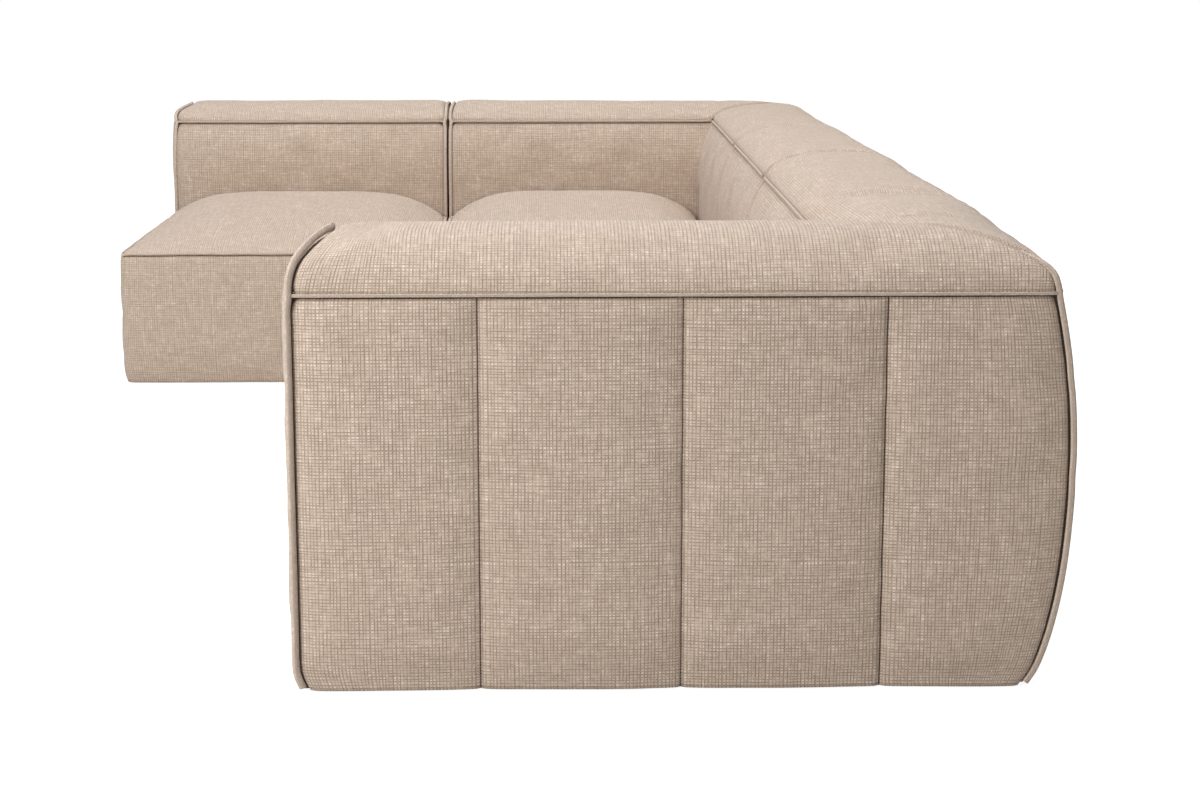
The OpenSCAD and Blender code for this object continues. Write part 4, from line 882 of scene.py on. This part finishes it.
def endTree(tree, geometry, material):
    real = addNode(tree, "GeometryNodeRealizeInstances", {0: geometry})
    painted = addNode(tree, "GeometryNodeSetMaterial", {"Geometry": real[0], "Material": material})
    addNode(tree, "NodeGroupOutput", {0: painted[0]})
    return tree


def tubeTree():  # a round cord wrapped in cloth, along any path
    tree, given, path = geometryTree("pipingTube", {"Radius": "Float", "Sides": "Int"})
    ring = addNode(tree, "GeometryNodeCurvePrimitiveCircle",
                   {"Resolution": given["Sides"], "Radius": given["Radius"]})[0]
    curves, lengths = [], []
    for curve, name in ((path, "runLength"), (ring, "roundLength")):
        spline = addNode(tree, "GeometryNodeSplineParameter")
        curves.append(addNode(tree, "GeometryNodeStoreNamedAttribute",
                              {"Geometry": curve, "Name": name, "Value": spline["Length"]},
                              data_type="FLOAT", domain="POINT")[0])
        lengths.append(addNode(tree, "GeometryNodeInputNamedAttribute", {"Name": name}, data_type="FLOAT")[0])
    tube = addNode(tree, "GeometryNodeCurveToMesh",
                   {"Curve": curves[0], "Profile Curve": curves[1], "Fill Caps": True})
    # Piping cloth is cut on the bias, so its yarns cross the cord at 45 degrees
    x, y = (addNode(tree, "ShaderNodeMath", {0: lengths[0], 1: lengths[1]}, operation=kind)[0]
            for kind in ("ADD", "SUBTRACT"))
    across = addNode(tree, "ShaderNodeCombineXYZ", {0: x, 1: y})
    bias = addNode(tree, "ShaderNodeVectorMath", {0: across[0], 1: (0.7071, 0.7071, 0.0)},
                   operation="MULTIPLY")
    wrap = addNode(tree, "GeometryNodeStoreNamedAttribute",
                   {"Geometry": tube[0], "Name": "wrap", "Value": bias[0]},
                   data_type="FLOAT_VECTOR", domain="POINT")
    smooth = addNode(tree, "GeometryNodeSetShadeSmooth", {0: wrap[0]})
    return endTree(tree, smooth[0], given["Material"])


def stitchTree():  # a row of sewn stitches along any path
    tree, given, path = geometryTree("stitchRow", {"Pitch": "Float", "Length": "Float", "Radius": "Float"})
    places = addNode(tree, "GeometryNodeCurveToPoints", {"Curve": path, "Length": given["Pitch"]},
                     mode="LENGTH")
    ball = addNode(tree, "GeometryNodeMeshUVSphere", {"Segments": 6, "Rings": 4, "Radius": 1.0})
    reach = addNode(tree, "ShaderNodeMath", {0: given["Length"], 1: 0.5}, operation="MULTIPLY")[0]
    shape = addNode(tree, "ShaderNodeCombineXYZ", {0: given["Radius"], 1: given["Radius"], 2: reach})
    stitch = addNode(tree, "GeometryNodeTransform", {"Geometry": ball[0], "Scale": shape[0]})
    placed = addNode(tree, "GeometryNodeInstanceOnPoints",
                     {"Points": places["Points"], "Instance": stitch[0], "Rotation": places["Rotation"]})
    return endTree(tree, placed[0], given["Material"])


def alongLines(kind, tree, values):  # one plain mesh for each module, made by a tree along its lines
    for body, paths in lines[kind].items():
        name = body.replace("module", "thin_piping" if kind == "thin" else kind)
        mesh = bpy.data.meshes.new(name)
        edges, start = [], 0
        for path in paths:
            edges += [(start + k, start + k + 1) for k in range(len(path) - 1)]
            start += len(path)
        mesh.from_pydata(np.vstack(paths).tolist(), edges, [])
        obj = addObject(name, mesh)
        modifier = obj.modifiers.new("form", "NODES")
        modifier.node_group = tree
        for item in tree.interface.items_tree:
            if item.in_out == "INPUT" and item.name in values:
                modifier[item.identifier] = values[item.name]
        applyModifiers(obj)
        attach(obj, body)


# Sewing thread: spun polyester, a little darker than the cloth, with a soft gloss
thread, tree, shader = newMaterial("spun_polyester_thread")
place = addNode(tree, "ShaderNodeTexCoord")["Object"]
twist = addNode(tree, "ShaderNodeTexWave", {"Vector": place, "Scale": 400.0, "Distortion": 1.0})
tone = addNode(tree, "ShaderNodeMix", {"Factor": twist["Fac"], "A": srgb("#A8947F"), "B": srgb("#CDBBA6")},
               data_type="RGBA")
tree.links.new(tone["Result"], shader.inputs["Base Color"])
shader.inputs["Roughness"].default_value = 0.6

tube, stitch = tubeTree(), stitchTree()
for kind, radius in cords.items():
    alongLines(kind, tube, {"Radius": radius, "Sides": trim["sides"], "Material": pipingCloth})
alongLines("stitches", stitch, {**stitches, "Material": thread})
print("piping, welts and stitches sewn")

for skin in skins:
    obj = skin["object"]
    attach(obj, skin["body"])
    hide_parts(skin["node"])

# Floor, light and camera
stage = {"world": 0.27, "key": 137.0, "top": 180.0, "floor": "#D8D6D2", "floorSeen": "#ACACAC", "glow": 0.90,
         "half": 14.0}
view = {"place": (0.153, -4.522, 1.045), "yaw": 1.27, "pitch": 10.42, "lens": 64.3, "shift": -0.05}
material, tree, shader = newMaterial("matt_studio_floor")
tree.nodes.remove(shader)
rays = addNode(tree, "ShaderNodeLightPath")
lit = addNode(tree, "ShaderNodeBsdfDiffuse", {"Color": srgb(stage["floor"])})
seen = addNode(tree, "ShaderNodeBsdfDiffuse", {"Color": srgb(stage["floorSeen"])})
glow = addNode(tree, "ShaderNodeEmission", {"Color": srgb("#FFFFFF"), "Strength": stage["glow"]})
bright = addNode(tree, "ShaderNodeAddShader", {0: seen[0], 1: glow[0]})
shown = addNode(tree, "ShaderNodeMixShader", {0: rays["Is Camera Ray"], 1: lit[0], 2: bright[0]})
tree.links.new(shown[0], tree.nodes["Material Output"].inputs["Surface"])
mesh = bpy.data.meshes.new("studio_floor")
half = stage["half"]
mesh.from_pydata([(-half, -half, 0), (half, -half, 0), (half, half, 0), (-half, half, 0)], [], [(0, 1, 2, 3)])
mesh.materials.append(material)
addObject("studio_floor", mesh)

world = bpy.data.worlds.new("studio")
scene.world = world
world.use_nodes = True
tree = world.node_tree
tree.nodes.clear()
rays = addNode(tree, "ShaderNodeLightPath")
direct = rays["Is Camera Ray"]
for other in ("Is Glossy Ray", "Is Transmission Ray"):
    direct = addNode(tree, "ShaderNodeMath", {0: direct, 1: rays[other]}, operation="MAXIMUM")[0]
strength = addNode(tree, "ShaderNodeMix", {"Factor": direct, "A": stage["world"], "B": 1.0}, data_type="FLOAT")
sky = addNode(tree, "ShaderNodeBackground", {"Color": srgb("#FFFFFF"), "Strength": strength["Result"]})
addNode(tree, "ShaderNodeOutputWorld", {0: sky[0]})


def softbox(name, place, target, size, power):
    lamp = bpy.data.lights.new(name, "AREA")
    lamp.shape, (lamp.size, lamp.size_y), lamp.energy = "RECTANGLE", size, power
    obj = addObject(name, lamp)
    obj.location = place
    obj.rotation_euler = (Vector(target) - Vector(place)).to_track_quat("-Z", "Y").to_euler()


softbox("key_softbox", place=(-2.2, -3.4, 2.5), target=(-0.3, 0, 0.35), size=(2.2, 2.2), power=stage["key"])
softbox("top_softbox", place=(0.3, 0.9, 4.6), target=(0.1, 0.3, 0.3), size=(4.0, 4.5), power=stage["top"])

camera = bpy.data.cameras.new("photo_camera")
camera.sensor_width, camera.lens = 36.0, view["lens"]
camera.shift_y, camera.clip_end = view["shift"], 100
obj = scene.camera = addObject("photo_camera", camera)
obj.location = view["place"]
obj.rotation_euler = (math.radians(90 - view["pitch"]), 0, -math.radians(view["yaw"]))

scene.view_settings.view_transform = "Standard"
print("stage, light and camera set")
